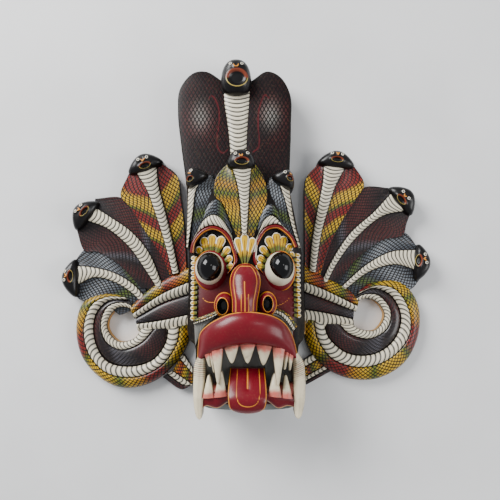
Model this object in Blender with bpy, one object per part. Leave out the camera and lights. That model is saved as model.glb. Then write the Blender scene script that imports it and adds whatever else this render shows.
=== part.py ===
"""Naga raksha mask: a carved wooden demon face under a crown of cobras, with a hinged wing at each side.

The mask lies on its back. +Z points out of the face, +Y to the top of the crown and +X to the right of
the picture. The origin is on the surface that the mask lies on, under the middle of its outline.
Lengths in the script are millimetres, and meshes are made in metres.
"""
import math

import bmesh
import bpy
import numpy as np
from mathutils import Matrix, Vector

mm = 0.001

# Overall size. Carved outlines are drawn for the drawn height and follow the real one.
mask_height = 398.0
drawn_height = 398.0
carving_scale = mask_height / drawn_height

# Heights above the surface that the mask lies on. The carved face stands on face_surface_height, and the
# feet of its forms lie inside the block at about root_height.
face_wall_height = 45.0
face_surface_height = 58.0
root_height = 30.0
hollow_depth = 35.0
rim_width = 11.0
crown_board = 27.0
wing_board = 15.0
hood_step = 2.0
belly_rise = 4.0
coil_height = 10.0
coil_crown = 7.0
mouth_floor = 44.0

# Gap between the face block and each wing, and the hinge that fills it
wall_half_width = 62.5 * carving_scale
wing_gap = 4.2
hinge_middle_y = -105.0 * carving_scale
hinge_length = 15.0
leaf_thickness = 1.0
leaf_height = 16.0
knuckle_radius = 1.8
pin_radius = 0.8
bore_clearance = 0.25
axis_height = 23.0
fit_gap = 0.3

# Faces that meet at less than this many degrees are one flat side
flat_angle = 1.0

model = bpy.data.collections.new("naga_raksha_mask")
helpers = bpy.data.collections.new("carving_helpers")


def start_clean():
    for thing in list(bpy.data.objects):
        bpy.data.objects.remove(thing, do_unlink=True)
    bpy.context.scene.collection.children.link(model)
    bpy.context.scene.collection.children.link(helpers)


def drawn(points):
    """Outline points or lengths, scaled from the drawn height to the real one."""
    return np.array(points, dtype=float) * carving_scale


def raised(points, start, end=None):
    """Outline points with a height that runs evenly from start to end."""
    flat = drawn(points)
    end = start if end is None else end
    heights = np.linspace(start, end, len(flat))
    return np.column_stack([flat, heights])


def placed(points, level=face_surface_height):
    """Outline points with their own heights above a level: only x and y follow the outline."""
    full = np.array(points, dtype=float)
    full[:, :2] = drawn(full[:, :2])
    full[:, 2] += level
    return full


def curve_through(points, count):
    """Evenly spaced points on a smooth curve through the given ones, without overshoot at short steps."""
    points = np.array(points, dtype=float)
    steps = np.sqrt(np.linalg.norm(np.diff(points, axis=0), axis=1))
    knots = np.concatenate([[0.0], np.cumsum(steps)])
    slopes = np.gradient(points, knots, axis=0)
    where = np.linspace(0.0, knots[-1], 24 * len(steps) + 1)
    cell = np.clip(np.searchsorted(knots, where, side="right") - 1, 0, len(steps) - 1)
    width = steps[cell][:, None]
    t = (where - knots[cell])[:, None] / width
    start = points[cell] * (2 * t**3 - 3 * t**2 + 1) + slopes[cell] * width * (t**3 - 2 * t**2 + t)
    end = points[cell + 1] * (3 * t**2 - 2 * t**3) + slopes[cell + 1] * width * (t**3 - t**2)
    fine = start + end
    travelled = np.concatenate([[0.0], np.cumsum(np.linalg.norm(np.diff(fine, axis=0), axis=1))])
    even = np.linspace(0.0, travelled[-1], count)
    return np.column_stack([np.interp(even, travelled, column) for column in fine.T])


def add_object(name, bm, collection):
    """An object from a bmesh in millimetres, with its faces pointing out."""
    bmesh.ops.triangulate(bm, faces=bm.faces)
    bmesh.ops.recalc_face_normals(bm, faces=bm.faces)
    bmesh.ops.scale(bm, vec=(mm, mm, mm), verts=bm.verts)
    mesh = bpy.data.meshes.new(name)
    bm.to_mesh(mesh)
    bm.free()
    thing = bpy.data.objects.new(name, mesh)
    collection.objects.link(thing)
    return thing


def loft(name, rings, collection):
    """A closed body through rings of points, each ring with the same number of points."""
    bm = bmesh.new()
    rows = []
    for ring in rings:
        rows.append([bm.verts.new(point) for point in ring])
    around = len(rows[0])
    for i in range(around):
        j = (i + 1) % around
        for near, far in zip(rows[:-1], rows[1:]):
            bm.faces.new((near[i], near[j], far[j], far[i]))
    for ring, row in ((rings[0], rows[0]), (rings[-1], rows[-1])):
        middle = bm.verts.new(np.mean(ring, axis=0))
        for i in range(around):
            bm.faces.new((row[i], row[(i + 1) % around], middle))
    return add_object(name, bm, collection)


def band(name, edges, crowns, facets, base, collection, stations=11):
    """A carved band between edges that run side by side, with a round ridge from each edge to the next.

    Every edge is a list of (x, y, z) points. Each ridge has its own crown, the height that it rises, and
    its own number of facets. The outer sides drop straight to the base height.
    """
    rails = [curve_through(edge, stations) for edge in edges]
    rows = []
    for left, right, crown, count in zip(rails[:-1], rails[1:], crowns, facets):
        for step in range(count):
            share = step / count
            row = left * (1 - share) + right * share
            row[:, 2] += crown * math.sqrt(1 - (2 * share - 1) ** 2)
            rows.append(row)
    rows.append(rails[-1])
    foot = [rails[0].copy(), rails[-1].copy()]
    foot[0][:, 2] = base
    foot[1][:, 2] = base
    rows = np.array([foot[0]] + rows + [foot[1]])
    return loft(name, rows.transpose(1, 0, 2), collection)


def ball(name, centre, radii, collection, turn=0.0, boxy=1.0, around=12, rings=6):
    """A ball stretched to three radii and turned about +Z, with fuller corners when boxy is below 1.

    Its centre and its first two radii follow the outline, its height and its third radius don't.
    """
    bm = bmesh.new()
    bmesh.ops.create_uvsphere(bm, u_segments=around, v_segments=rings, radius=1.0)
    for vert in bm.verts:
        vert.co = Vector([math.copysign(abs(value) ** boxy, value) for value in vert.co])
    x, y = drawn(centre[:2])
    long, short = drawn(radii[:2])
    place = Matrix.Translation((x, y, centre[2])) @ Matrix.Rotation(math.radians(turn), 4, "Z")
    bm.transform(place @ Matrix.Diagonal((long, short, radii[2], 1.0)))
    return add_object(name, bm, collection)


def box(name, low, high, collection):
    """A box between its lowest and highest corners."""
    bm = bmesh.new()
    bmesh.ops.create_cube(bm, size=1.0)
    low = np.array(low, dtype=float)
    high = np.array(high, dtype=float)
    size = high - low
    middle = (high + low) / 2
    bm.transform(Matrix.Translation(middle) @ Matrix.Diagonal((*size, 1.0)))
    return add_object(name, bm, collection)


def rod(name, start, end, radius, collection, around=12):
    """A round bar along Y from start to end, both (x, y, z)."""
    bm = bmesh.new()
    length = end[1] - start[1]
    bmesh.ops.create_cone(bm, cap_ends=True, segments=around, radius1=radius, radius2=radius, depth=length)
    middle = (start[0], (start[1] + end[1]) / 2, start[2])
    bm.transform(Matrix.Translation(middle) @ Matrix.Rotation(math.pi / 2, 4, "X"))
    return add_object(name, bm, collection)


def material(name, colour, roughness, metallic=0.0):
    finish = bpy.data.materials.new(name)
    finish.use_nodes = True
    shader = finish.node_tree.nodes["Principled BSDF"]
    shader.inputs["Base Color"].default_value = (*colour, 1.0)
    shader.inputs["Roughness"].default_value = roughness
    shader.inputs["Metallic"].default_value = metallic
    return finish


def group(name, things):
    """A collection of helper bodies, hidden in renders and drawn as wires."""
    bundle = bpy.data.collections.new(name)
    helpers.children.link(bundle)
    for thing in things:
        bundle.objects.link(thing)
        helpers.objects.unlink(thing)
        thing.hide_render = True
        thing.display_type = "WIRE"
    return bundle


def boolean(block, label, operation, operand):
    """A Boolean step on the block, with another object or a whole collection of them."""
    step = block.modifiers.new(label, "BOOLEAN")
    step.operation = operation
    step.solver = "EXACT"
    if isinstance(operand, bpy.types.Collection):
        step.operand_type = "COLLECTION"
        step.collection = operand
    else:
        step.object = operand


def carve(block, forms, cuts, finish):
    """One solid: the block with its raised forms joined on and its cuts taken out."""
    name = block.name
    helpers.objects.unlink(block)
    model.objects.link(block)
    boolean(block, "raised forms", "UNION", group(name + "_forms", forms))
    group(name + "_cuts", cuts)
    for cut in cuts:
        boolean(block, cut.name, "DIFFERENCE", cut)
    flatten = block.modifiers.new("one face for each flat side", "DECIMATE")
    flatten.decimate_type = "DISSOLVE"
    flatten.angle_limit = math.radians(flat_angle)
    block.data.materials.append(finish)
    return block


def underside(name, depth=30.0):
    """Everything below the surface that the mask lies on."""
    reach = mask_height
    return box(name, (-reach, -reach, -depth), (reach, reach, 0.0), helpers)


# Wings. Each outline is read off the carving from the head of a snake to its neck. A head lies on the middle
# of its hood's end, moved by its shift.
left_cobras = {
    "upper": {
        "outer": [(-137.5, 74), (-147, 46.5), (-136.5, 33.5), (-117, 3.5), (-98, -25.5), (-88.5, -46)],
        "belly_outer": [(-129, 73.5), (-116.5, 53.5), (-105.5, 24.5), (-95, -7.5), (-85, -45)],
        "belly_inner": [(-104.5, 84), (-102, 59), (-94.5, 31), (-85.5, -4.5), (-77, -43)],
        "inner": [(-102, 86), (-81.5, 71), (-77, 46.5), (-72.5, 14), (-69, -37.5), (-69, -45)],
        "head_shift": (2.2, 3.6), "head_radii": (16, 11.5), "turn": 18,
    },
    "middle": {
        "outer": [(-198, 8), (-187.5, -18), (-173.5, -19), (-148.5, -33), (-122, -60)],
        "belly_outer": [(-185, 17), (-161, 7.5), (-135.5, -14), (-119, -36.5), (-101, -64)],
        "belly_inner": [(-177.5, 34), (-157.5, 21.5), (-132.5, 4), (-112, -20.5), (-95, -60)],
        "inner": [(-177, 43.5), (-147.5, 45), (-131, 33), (-111, 1), (-92, -28), (-84, -50)],
        "head_shift": (-2.6, -1.1), "head_radii": (17, 11), "turn": 52,
    },
    "lower": {
        "outer": [(-199.5, -68), (-189.5, -75.5), (-176.5, -77), (-160, -82), (-146, -92)],
        "belly_outer": [(-196, -58.5), (-175.5, -49), (-152.5, -54), (-131.5, -67), (-119, -80)],
        "belly_inner": [(-196.5, -35), (-181.5, -36), (-155, -42), (-131.5, -55), (-113, -74)],
        "inner": [(-200.5, -31), (-186, -14), (-173, -13), (-144, -27), (-118, -58)],
        "head_shift": (-1.9, -1.9), "head_radii": (18, 10), "turn": 92,
    },
}
right_cobras = {
    "upper": {
        "outer": [(125, 83.5), (137.5, 60), (127.5, 42.5), (109.5, 14), (95.5, -14), (85, -47)],
        "belly_outer": [(116.5, 81), (103.5, 57), (95, 31), (87, 3), (79.5, -43)],
        "belly_inner": [(89.5, 85), (88.5, 63.5), (81, 26.5), (74.5, -10), (71.5, -41)],
        "inner": [(87.5, 88), (70, 68.5), (68, 60), (66.5, 21.5), (66, -7.5), (66, -42)],
        "head_shift": (-0.1, 1.6), "head_radii": (18.5, 12), "turn": -6,
    },
    "middle": {
        "outer": [(195, 35), (186.5, 14.5), (181.5, 0), (159, -5), (128.5, -26.5), (103, -58)],
        "belly_outer": [(187, 28.5), (158.5, 22.5), (126.5, -3.5), (103.5, -34), (91, -58)],
        "belly_inner": [(168, 49.5), (147, 27), (120, 3), (98.5, -28), (86, -53)],
        "inner": [(169, 56), (138, 57), (121, 41), (104, 14), (91, -14), (80, -47)],
        "head_shift": (2.2, -0.3), "head_radii": (17, 11.5), "turn": -52,
    },
    "lower": {
        "outer": [(202, -48.5), (190, -62), (164.5, -66), (142, -74)],
        "belly_outer": [(199.5, -42.5), (172.5, -34), (143, -41.5), (117, -60), (110, -66)],
        "belly_inner": [(195.5, -16.5), (167.5, -18.5), (139, -33), (110.5, -57.5), (104, -64)],
        "inner": [(199, -13.5), (184, 4), (158, 0), (125, -21), (102, -55)],
        "head_shift": (1.5, -1.8), "head_radii": (17.5, 9.5), "turn": -96,
    },
}
left_coil = {
    "rim": [(-64, -102), (-67, -124), (-82, -147.5), (-105.5, -167), (-136, -174.5), (-161, -167),
            (-188, -140), (-196, -104), (-188.5, -77), (-164.5, -67.5), (-150, -68)],
    "seam": [(-76, -104), (-79, -123.5), (-96, -148), (-124, -161), (-156.5, -157.5),
             (-178.5, -136.5), (-185.5, -106), (-177, -80), (-160, -71), (-140, -71)],
    "middle": [(-89.5, -106.5), (-92.5, -123.5), (-106.5, -142), (-133, -149.5), (-159.5, -143),
               (-173.5, -118), (-172.5, -91), (-159, -76), (-136, -74)],
    "inner_seam": [(-105.5, -107.5), (-120.5, -123.5), (-142, -131), (-159.5, -122.5), (-166.5, -101.5),
                   (-158.5, -81.5), (-139, -77.5), (-128, -84)],
    "hole": [(-120.5, -106), (-128, -117.5), (-146, -121.5), (-158.5, -108.5), (-159, -98),
             (-149, -84), (-137.5, -83), (-126, -89)],
}
right_coil = {
    "rim": [(64, -96.5), (67.5, -124), (86, -148.5), (116, -163.5), (150, -163.5), (182, -144.5),
            (198.5, -110), (197, -76), (178, -53.5), (142.5, -55), (132, -62)],
    "seam": [(76.5, -97.5), (81, -119), (98, -141.5), (130.5, -150.5), (163, -140.5), (185, -115),
             (186, -87), (171.5, -63), (151, -58), (130, -65)],
    "middle": [(88.5, -102), (94.5, -118), (116, -135), (145.5, -135.5), (168.5, -119.5),
               (177, -93.5), (166.5, -70), (145, -61), (127, -68)],
    "inner_seam": [(105.5, -101.5), (116, -112), (139, -118.5), (160, -107.5), (165, -87),
                   (152, -69.5), (134.5, -68), (122, -75)],
    "hole": [(121, -102), (130, -107.5), (147.5, -108.5), (158, -93.5), (155.5, -83.5),
             (147, -75), (136, -73), (124, -79)],
}
left_necks = {
    "upper": [
        [(-63, -35), (-94, -50.5), (-115.5, -65), (-133, -80)],
        [(-63, -52), (-97, -67.5), (-129, -87.5)],
        [(-63, -67), (-98.5, -79), (-124, -94)],
    ],
    "lower": [
        [(-63, -66), (-98.5, -78), (-123.5, -92)],
        [(-63, -90), (-98, -97.5), (-122, -101)],
        [(-63, -107), (-98.5, -110), (-119.5, -110)],
    ],
}
right_necks = {
    "upper": [
        [(62, -32), (89, -47.5), (117.5, -62.5), (128, -74)],
        [(62, -52), (88, -62), (127, -81)],
        [(62, -64), (88.5, -73.5), (125, -88)],
    ],
    "lower": [
        [(62, -63), (88.5, -72.5), (123, -86)],
        [(62, -84), (91.5, -89), (122, -96)],
        [(62, -101), (88.5, -106), (123, -104)],
    ],
}
left_tail = [
    [(-72, -136), (-62, -151)],
    [(-77, -141), (-62, -158)],
    [(-84, -155), (-61.5, -170)],
    [(-96, -162), (-74.5, -176), (-65, -173)],
]
right_tail = [
    [(86, -130), (65, -143)],
    [(91, -137), (66, -151)],
    [(99, -144), (67.5, -161)],
    [(107, -150), (68, -171)],
]


def cobra(side, level, drawing):
    """A spread hood on the wing board with its belly ridge and head; each lower snake lies a step deeper."""
    depth = {"upper": 0, "middle": 1, "lower": 2}[level] * hood_step
    edge = wing_board - depth
    belly = edge + belly_rise - 1.0
    hood = band(
        f"{side}_{level}_hood",
        [
            raised(drawing["outer"], edge),
            raised(drawing["belly_outer"], belly - 1.0, edge),
            raised(drawing["belly_inner"], belly - 1.0, edge),
            raised(drawing["inner"], edge),
        ],
        (0.0, belly_rise, 0.0),
        (1, 3, 1),
        -2.0 - depth,
        helpers,
        stations=10,
    )
    ends = [drawing[rail][0] for rail in ("outer", "belly_outer", "belly_inner", "inner")]
    x, y = np.mean(ends, axis=0) + drawing["head_shift"]
    long, short = drawing["head_radii"]
    head = ball(
        f"{side}_{level}_head", (x, y, edge), (long, short, 11.0), helpers, turn=drawing["turn"], boxy=0.75
    )
    return [hood, head]


def coil(side, drawing, overlap=0.3):
    """Two snake bodies side by side round the hole, each a back and a belly ridge.

    The inner body runs into the outer one by a share of the outer one's belly.
    """
    outer = band(
        f"{side}_outer_coil",
        [
            raised(drawing["rim"], coil_height - 3.0),
            raised(drawing["seam"], coil_height + 3.0),
            raised(drawing["middle"], coil_height),
        ],
        (coil_crown - 2.0, coil_crown - 2.0),
        (3, 3),
        -7.0,
        helpers,
        stations=28,
    )
    seam = curve_through(drawn(drawing["seam"]), 22)
    middle = curve_through(drawn(drawing["middle"]), 22)
    sunk = middle * (1 - overlap) + seam * overlap
    heights = np.full((len(sunk), 1), coil_height - 1.0)
    inside = band(
        f"{side}_inner_coil",
        [
            np.hstack([sunk, heights]),
            raised(drawing["inner_seam"], coil_height + 2.0),
            raised(drawing["hole"], coil_height),
        ],
        (coil_crown - 3.0, coil_crown - 3.0),
        (3, 3),
        -8.0,
        helpers,
        stations=22,
    )
    return [outer, inside]


def necks(side, drawing):
    """The two snake bodies that run from the coil to the hinge edge."""
    forms = []
    for number, level in enumerate(("upper", "lower")):
        edges = drawing[level]
        lift = 2.0 * (1 - number)
        forms.append(
            band(
                f"{side}_{level}_neck",
                [
                    raised(edges[0], coil_height + lift),
                    raised(edges[1], coil_height + lift + 2.0),
                    raised(edges[2], coil_height + lift - 1.0),
                ],
                (coil_crown - 3.0, coil_crown - 3.0),
                (3, 3),
                -9.0 - number,
                helpers,
                stations=6,
            )
        )
    return forms


def tail(side, edges):
    """The flat end of the lowest snake under the coil, beside the chin."""
    drops = (3.0, 2.0, 2.0, 4.0)
    rails = [raised(edge, coil_height - drop) for edge, drop in zip(edges, drops)]
    return band(f"{side}_tail", rails, (1.5, 0.0, 1.5), (2, 1, 2), -11.0, helpers, stations=4)


def wing(side, cobras, coil_drawing, neck_drawing, tail_drawing, finish):
    """One wing board: three cobras over a coil, cut flat at the back and along the hinge edge."""
    sign = -1.0 if side == "left" else 1.0
    outer_coil, inner_coil = coil(side, coil_drawing)
    outer_coil.name = f"{side}_wing"
    forms = [inner_coil, tail(side, tail_drawing)] + necks(side, neck_drawing)
    for level, drawing in cobras.items():
        forms += cobra(side, level, drawing)
    edge_x = sign * (wall_half_width + wing_gap)
    inner_x = sign * wall_half_width / 2
    edge_start, edge_end = drawn((-130.0, 60.0))
    beside_face = box(
        f"{side}_hinge_edge_cut",
        (min(edge_x, inner_x), edge_start, -20.0),
        (max(edge_x, inner_x), edge_end, face_surface_height),
        helpers,
    )
    return carve(outer_coil, forms, [underside(f"{side}_underside"), beside_face], finish)


# Face block and crown
def face_block():
    """The block behind the face: vertical side walls and a surface that swells to the middle."""
    side = wall_half_width / carving_scale
    left_wall = [(-66, 46, -1), (-65, 20, 0), (-side, -40, 0), (-side, -116, -4), (-56, -124, -4),
                 (-55, -160, -2), (-50, -190, -6)]
    left_cheek = [(-50, 46, -4), (-48, 20, -2), (-48, -40, -4), (-48, -95, 2), (-46, -124, -6),
                  (-44, -160, -4), (-36, -193, -12)]
    middle = [(-4, 46, 0), (-2, 20, 2), (0, -40, 4), (0, -95, 6), (1, -124, 4), (2, -160, 0), (2, -194, -8)]
    right_cheek = [(34, 46, -4), (40, 20, -2), (46, -40, -4), (48, -95, 2), (46, -124, -6), (46, -160, -4),
                   (42, -193, -12)]
    right_wall = [(48, 46, -1), (53, 20, 0), (61.5, -30, 0), (side, -60, 0), (side, -116, -4), (57, -124, -4),
                  (57.5, -160, -2), (54, -190, -6)]
    edges = [
        placed(left_wall, face_wall_height),
        placed(left_cheek),
        placed(middle),
        placed(right_cheek),
        placed(right_wall, face_wall_height),
    ]
    return band("face", edges, (2.0, 1.0, 1.0, 2.0), (2, 2, 2, 2), -3.0, helpers, stations=17)


def main_cobra():
    """The tall cobra of the crown: a lobe at each side, a belly ridge between them and a square head."""
    top = crown_board
    seam = crown_board + 4
    left = band(
        "left_lobe",
        [
            raised([(-27, 177), (-46, 190), (-62, 188), (-77, 168.5), (-79, 141.5), (-74.5, 100), (-68, 55),
                    (-65, 34)], top, top + 11),
            raised([(-16, 172), (-15, 140), (-12, 100), (-11, 56), (-10, 34)], seam, seam + 11),
        ],
        (2.0,),
        (3,),
        -4.0,
        helpers,
        stations=15,
    )
    right = band(
        "right_lobe",
        [
            raised([(-6, 172), (-7, 140), (-7, 100), (-7, 56), (-6.5, 34)], seam, seam + 11),
            raised([(5, 177), (23.5, 190.5), (39, 183.5), (50.5, 161.5), (51, 123.5), (48.5, 56), (49, 34)],
                   top, top + 11),
        ],
        (2.0,),
        (3,),
        -4.5,
        helpers,
        stations=14,
    )
    belly = band(
        "crown_belly",
        [
            raised([(-27, 168), (-24.5, 149), (-20, 111.5), (-17, 58), (-16, 35)], seam, seam + 12),
            raised([(5.5, 168), (3, 149), (1, 111.5), (0, 58), (0, 35)], seam, seam + 12),
        ],
        (5.0,),
        (4,),
        -5.0,
        helpers,
        stations=9,
    )
    head = ball("crown_head", (-12, 178, top + 3.0), (17, 21, 18), helpers, boxy=0.8)
    return [left, right, belly, head]


def forehead_cobras():
    """The cobra in the middle of the forehead and the two that lean out over the eyes."""
    top = face_surface_height
    centre_hood = band(
        "centre_hood",
        [
            raised([(-16, 78), (-33, 58), (-34.5, 37.5), (-26, 29), (-16.5, 7), (-9, -16)], top + 2, top + 5),
            raised([(-15, 70), (-11.5, 54), (-8, 36.5), (-4.5, -14)], top + 9, top + 6),
            raised([(5, 70), (4.5, 54), (3.5, 36.5), (1, -14)], top + 9, top + 6),
            raised([(6.5, 78), (20, 55.5), (22.5, 33), (14.5, 11.5), (7, -16)], top + 2, top + 5),
        ],
        (0.0, 4.0, 0.0),
        (1, 3, 1),
        root_height,
        helpers,
        stations=8,
    )
    centre_head = ball("centre_head", (-5.5, 74, top + 6), (13, 10.5, 13), helpers, boxy=0.8)
    left_body = band(
        "left_forehead_snake",
        [
            raised([(-65, 52), (-64, 21), (-63, -20)], top - 8, top - 6),
            raised([(-42, 60), (-53.5, 47), (-56, 20.5), (-57, -20)], top, top - 2),
            raised([(-38, 62), (-34.5, 46), (-39, 22), (-48, -14)], top - 4),
        ],
        (5.0, 0.0),
        (3, 1),
        root_height - 1.0,
        helpers,
        stations=7,
    )
    left_head = ball("left_forehead_head", (-54, 59, top), (13, 9, 11), helpers, turn=28, boxy=0.8)
    right_body = band(
        "right_forehead_snake",
        [
            raised([(28, 60), (24.5, 46), (32, 20), (44, -12)], top - 4),
            raised([(34, 56), (41.5, 33.5), (48, 7.5), (54, -18)], top, top - 2),
            raised([(48, 50), (50.5, 25.5), (57, -10), (59, -20)], top - 8, top - 6),
        ],
        (0.0, 5.0),
        (1, 3),
        root_height - 2.0,
        helpers,
        stations=7,
    )
    right_head = ball("right_forehead_head", (41, 57, top), (13, 9, 11), helpers, turn=-30, boxy=0.8)
    return [centre_hood, centre_head, left_body, left_head, right_body, right_head]


def brows():
    """Folded snake bodies over the eyes: a grey hill, a ribbed dome and an arch on each side."""
    sets = {
        "left": {
            "hill": [(-50, 12), (-33, 33.5), (-15.5, -1)],
            "dome": [(-48, 2), (-35.5, 17.5), (-17, -5)],
            "arch": [(-58, -26), (-48, -3), (-37, 2.5), (-26, -1), (-17, -12), (-10, -32)],
        },
        "right": {
            "hill": [(15, 1), (27, 30.5), (42, 12)],
            "dome": [(15, -3), (30, 16), (42, 3)],
            "arch": [(8.5, -32), (14.5, -8), (32.5, 3), (48.5, -9.5), (54, -22)],
        },
    }
    forms = []
    for side, drawing in sets.items():
        for step, (part, width) in enumerate((("hill", 9.0), ("dome", 8.0), ("arch", 5.0))):
            middle = raised(drawing[part], face_surface_height + 1.0 + 1.5 * step)
            outer = middle + drawn((0.0, width / 2, 0.0))
            inner = middle - drawn((0.0, width / 2, 0.0))
            foot = root_height + 4.0 + step
            forms.append(band(f"{side}_{part}", [outer, inner], (4.0,), (3,), foot, helpers, stations=8))
    return forms


def eyes():
    """Bulging eyeballs with a flatter pupil on each."""
    top = face_surface_height
    forms = []
    for side, x, y in (("left", -38, -41.5), ("right", 36.5, -40.5)):
        forms.append(ball(f"{side}_eyeball", (x, y, top + 2), (18.0, 20.0, 20.0), helpers, around=16, rings=9))
        forms.append(ball(f"{side}_pupil", (x, y, top + 10), (13.0, 14.5, 15.5), helpers, around=16, rings=8))
    return forms


def nose():
    """A bulb widening to the tip, with a flared wing at each side."""
    bridge = band(
        "nose",
        [
            placed([(-3, -32, 8), (-17.5, -53.5, 12), (-15.5, -69, 16), (-10, -87, 20)]),
            placed([(-0.5, -30, 10), (-1, -53, 26), (0, -69, 35), (0, -89, 35)]),
            placed([(2, -32, 8), (15, -53.5, 12), (13.5, -67.5, 16), (9, -87, 20)]),
        ],
        (4.0, 4.0),
        (3, 3),
        root_height + 6.0,
        helpers,
        stations=8,
    )
    height = face_surface_height + 12.0
    left = ball("left_nostril_wing", (-23, -78, height), (10.5, 12.5, 14), helpers)
    right = ball("right_nostril_wing", (22.5, -77, height), (10.5, 12.5, 14), helpers)
    return [bridge, left, right]


def lips():
    """The thick upper lip that arches over the mouth, and the scalloped lower lip."""
    upper = band(
        "upper_lip",
        [
            placed([(-52, -134, -4), (-50, -108.5, 8), (-30, -94, 22), (0, -86, 28), (29, -91, 22),
                    (48, -108.5, 8), (54.5, -134, -4)]),
            placed([(-43.5, -136, 2), (-30, -126, 18), (-3.5, -119.5, 26), (28, -122.5, 20), (50, -135, 2)]),
        ],
        (12.0,),
        (5,),
        root_height + 2.0,
        helpers,
        stations=17,
    )
    forms = [upper]
    lower_edges = {
        "left": (
            [(-44, -171, 2), (-30, -168.5, 8), (-12, -167, 10)],
            [(-45, -187, 0), (-29, -185, 4), (-12, -176, 8)],
        ),
        "right": (
            [(14, -167, 10), (33, -170, 8), (50, -172.5, 2)],
            [(14, -176, 8), (32.5, -185, 4), (52.5, -187, 0)],
        ),
    }
    foot = root_height + 3.0
    for side, (top, bottom) in lower_edges.items():
        rails = [placed(top), placed(bottom)]
        forms.append(band(f"{side}_lower_lip", rails, (6.0,), (3,), foot, helpers, stations=7))
    return forms


def tooth(name, root_left, root_right, tip, tip_width, height, thickness):
    """A tapering tooth from its root line to a blunt tip, at a height above the face's surface."""
    height = height + face_surface_height
    left_tip = (tip[0] - tip_width / 2, tip[1])
    right_tip = (tip[0] + tip_width / 2, tip[1])
    left = raised([root_left, left_tip], height, height - 3)
    right = raised([root_right, right_tip], height, height - 3)
    return band(name, [left, right], (4.0,), (3,), height - thickness, helpers, stations=3)


def teeth():
    """Three broad upper teeth between two long canines, a small tooth beyond each, and four lower teeth."""
    upper = {
        "tooth_1": ((-21, -118), (-8, -118), (-14, -138), 5.5, 22.0),
        "tooth_2": ((-6, -117), (9, -117), (1.5, -138), 5.5, 23.0),
        "tooth_3": ((10, -118), (25, -120), (17, -140), 5.5, 22.0),
        "left_canine": ((-34, -122), (-22, -119), (-28, -161), 3.0, 19.0),
        "right_canine": ((26, -119), (39, -123), (32, -163), 3.0, 19.0),
        "left_side_tooth": ((-42, -127), (-35, -124), (-37, -146), 4.0, 14.0),
        "right_side_tooth": ((40, -124), (48, -127), (42, -146), 4.0, 14.0),
    }
    lower = {
        "lower_tooth_1": ((-44, -174), (-33, -174), (-38, -153), 3.0, 10.0),
        "lower_tooth_2": ((-31, -173), (-20, -172), (-25.5, -153), 3.0, 12.0),
        "lower_tooth_3": ((22, -172), (33, -173), (27, -152), 3.0, 12.0),
        "lower_tooth_4": ((35, -174), (46, -175), (40, -153), 3.0, 10.0),
    }
    forms = []
    for name, values in {**upper, **lower}.items():
        forms.append(tooth(name, *values, 12.0))
    return forms


def tusks():
    """A long blunt tusk that curves down at each corner of the mouth."""
    top = face_surface_height
    foot = mouth_floor - 2.0
    left = band(
        "left_tusk",
        [
            raised([(-48, -130), (-54.5, -150), (-53.5, -178), (-50, -197)], top, top + 6),
            raised([(-42, -132), (-44.5, -150), (-44.5, -172), (-44.5, -198)], top, top + 6),
        ],
        (8.0,),
        (4,),
        foot,
        helpers,
        stations=8,
    )
    right = band(
        "right_tusk",
        [
            raised([(48, -132), (51, -150), (51, -172), (50.5, -198)], top, top + 6),
            raised([(53, -130), (60.5, -150), (59.5, -178), (56, -197)], top, top + 6),
        ],
        (8.0,),
        (4,),
        foot,
        helpers,
        stations=8,
    )
    return [left, right]


def tongue():
    """The tongue, out over the lower lip and down to its rounded end."""
    left = placed([(-18, -140, -6), (-18.5, -156, 8), (-18.5, -175, 20), (-12, -186, 16), (-6, -189, 12)])
    middle = placed([(1, -140, -6), (1, -156, 12), (1.5, -175, 26), (1.5, -186, 22), (1.5, -190, 14)])
    right = placed([(20, -140, -6), (21, -156, 8), (21, -175, 20), (15, -186, 16), (8, -189, 12)])
    foot = root_height + 5.0
    return [band("tongue", [left, middle, right], (2.5, 2.5), (2, 2), foot, helpers, stations=10)]


def face_cuts():
    """The hollow behind the face, the mouth between the lips and the two nostrils."""
    half = (wall_half_width - rim_width) / carving_scale
    hollow = ball("back_hollow", (0, -62, 0), (half, 114, hollow_depth), helpers, boxy=0.7, around=16, rings=8)
    above = face_surface_height + 50.0
    mouth = band(
        "mouth_cut",
        [
            raised([(-44, -134), (-30, -122), (0, -116), (30, -119), (49, -134)], above),
            raised([(-45, -168), (-20, -170), (0, -170), (22, -170), (50, -169)], above),
        ],
        (0.0,),
        (1,),
        mouth_floor,
        helpers,
        stations=8,
    )
    height = face_surface_height + 26.0
    left = ball("left_nostril_cut", (-23, -81, height), (4.5, 6.5, 10), helpers, around=10, rings=6)
    right = ball("right_nostril_cut", (22.5, -79, height), (4.5, 6.5, 10), helpers, around=10, rings=6)
    return hollow, mouth, [left, right]


def face(finish):
    """The face block, hollowed behind and opened at the mouth, with everything carved on it joined on."""
    block = face_block()
    hollow, mouth, nostrils = face_cuts()
    boolean(block, "mouth", "DIFFERENCE", mouth)
    mouth.hide_render = True
    mouth.display_type = "WIRE"
    forms = main_cobra() + forehead_cobras() + brows() + eyes() + nose()
    forms += lips() + teeth() + tusks() + tongue()
    seats = []
    for side, sign in (("left", -1.0), ("right", 1.0)):
        near = sign * wall_half_width
        far = sign * (wall_half_width + 12.0)
        low = (min(near, far), hinge_middle_y - hinge_length, -10.0)
        high = (max(near, far), hinge_middle_y + hinge_length, 60.0)
        seats.append(box(f"{side}_hinge_seat", low, high, helpers))
    return carve(block, forms, [hollow, underside("face_underside")] + nostrils + seats, finish)


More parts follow.
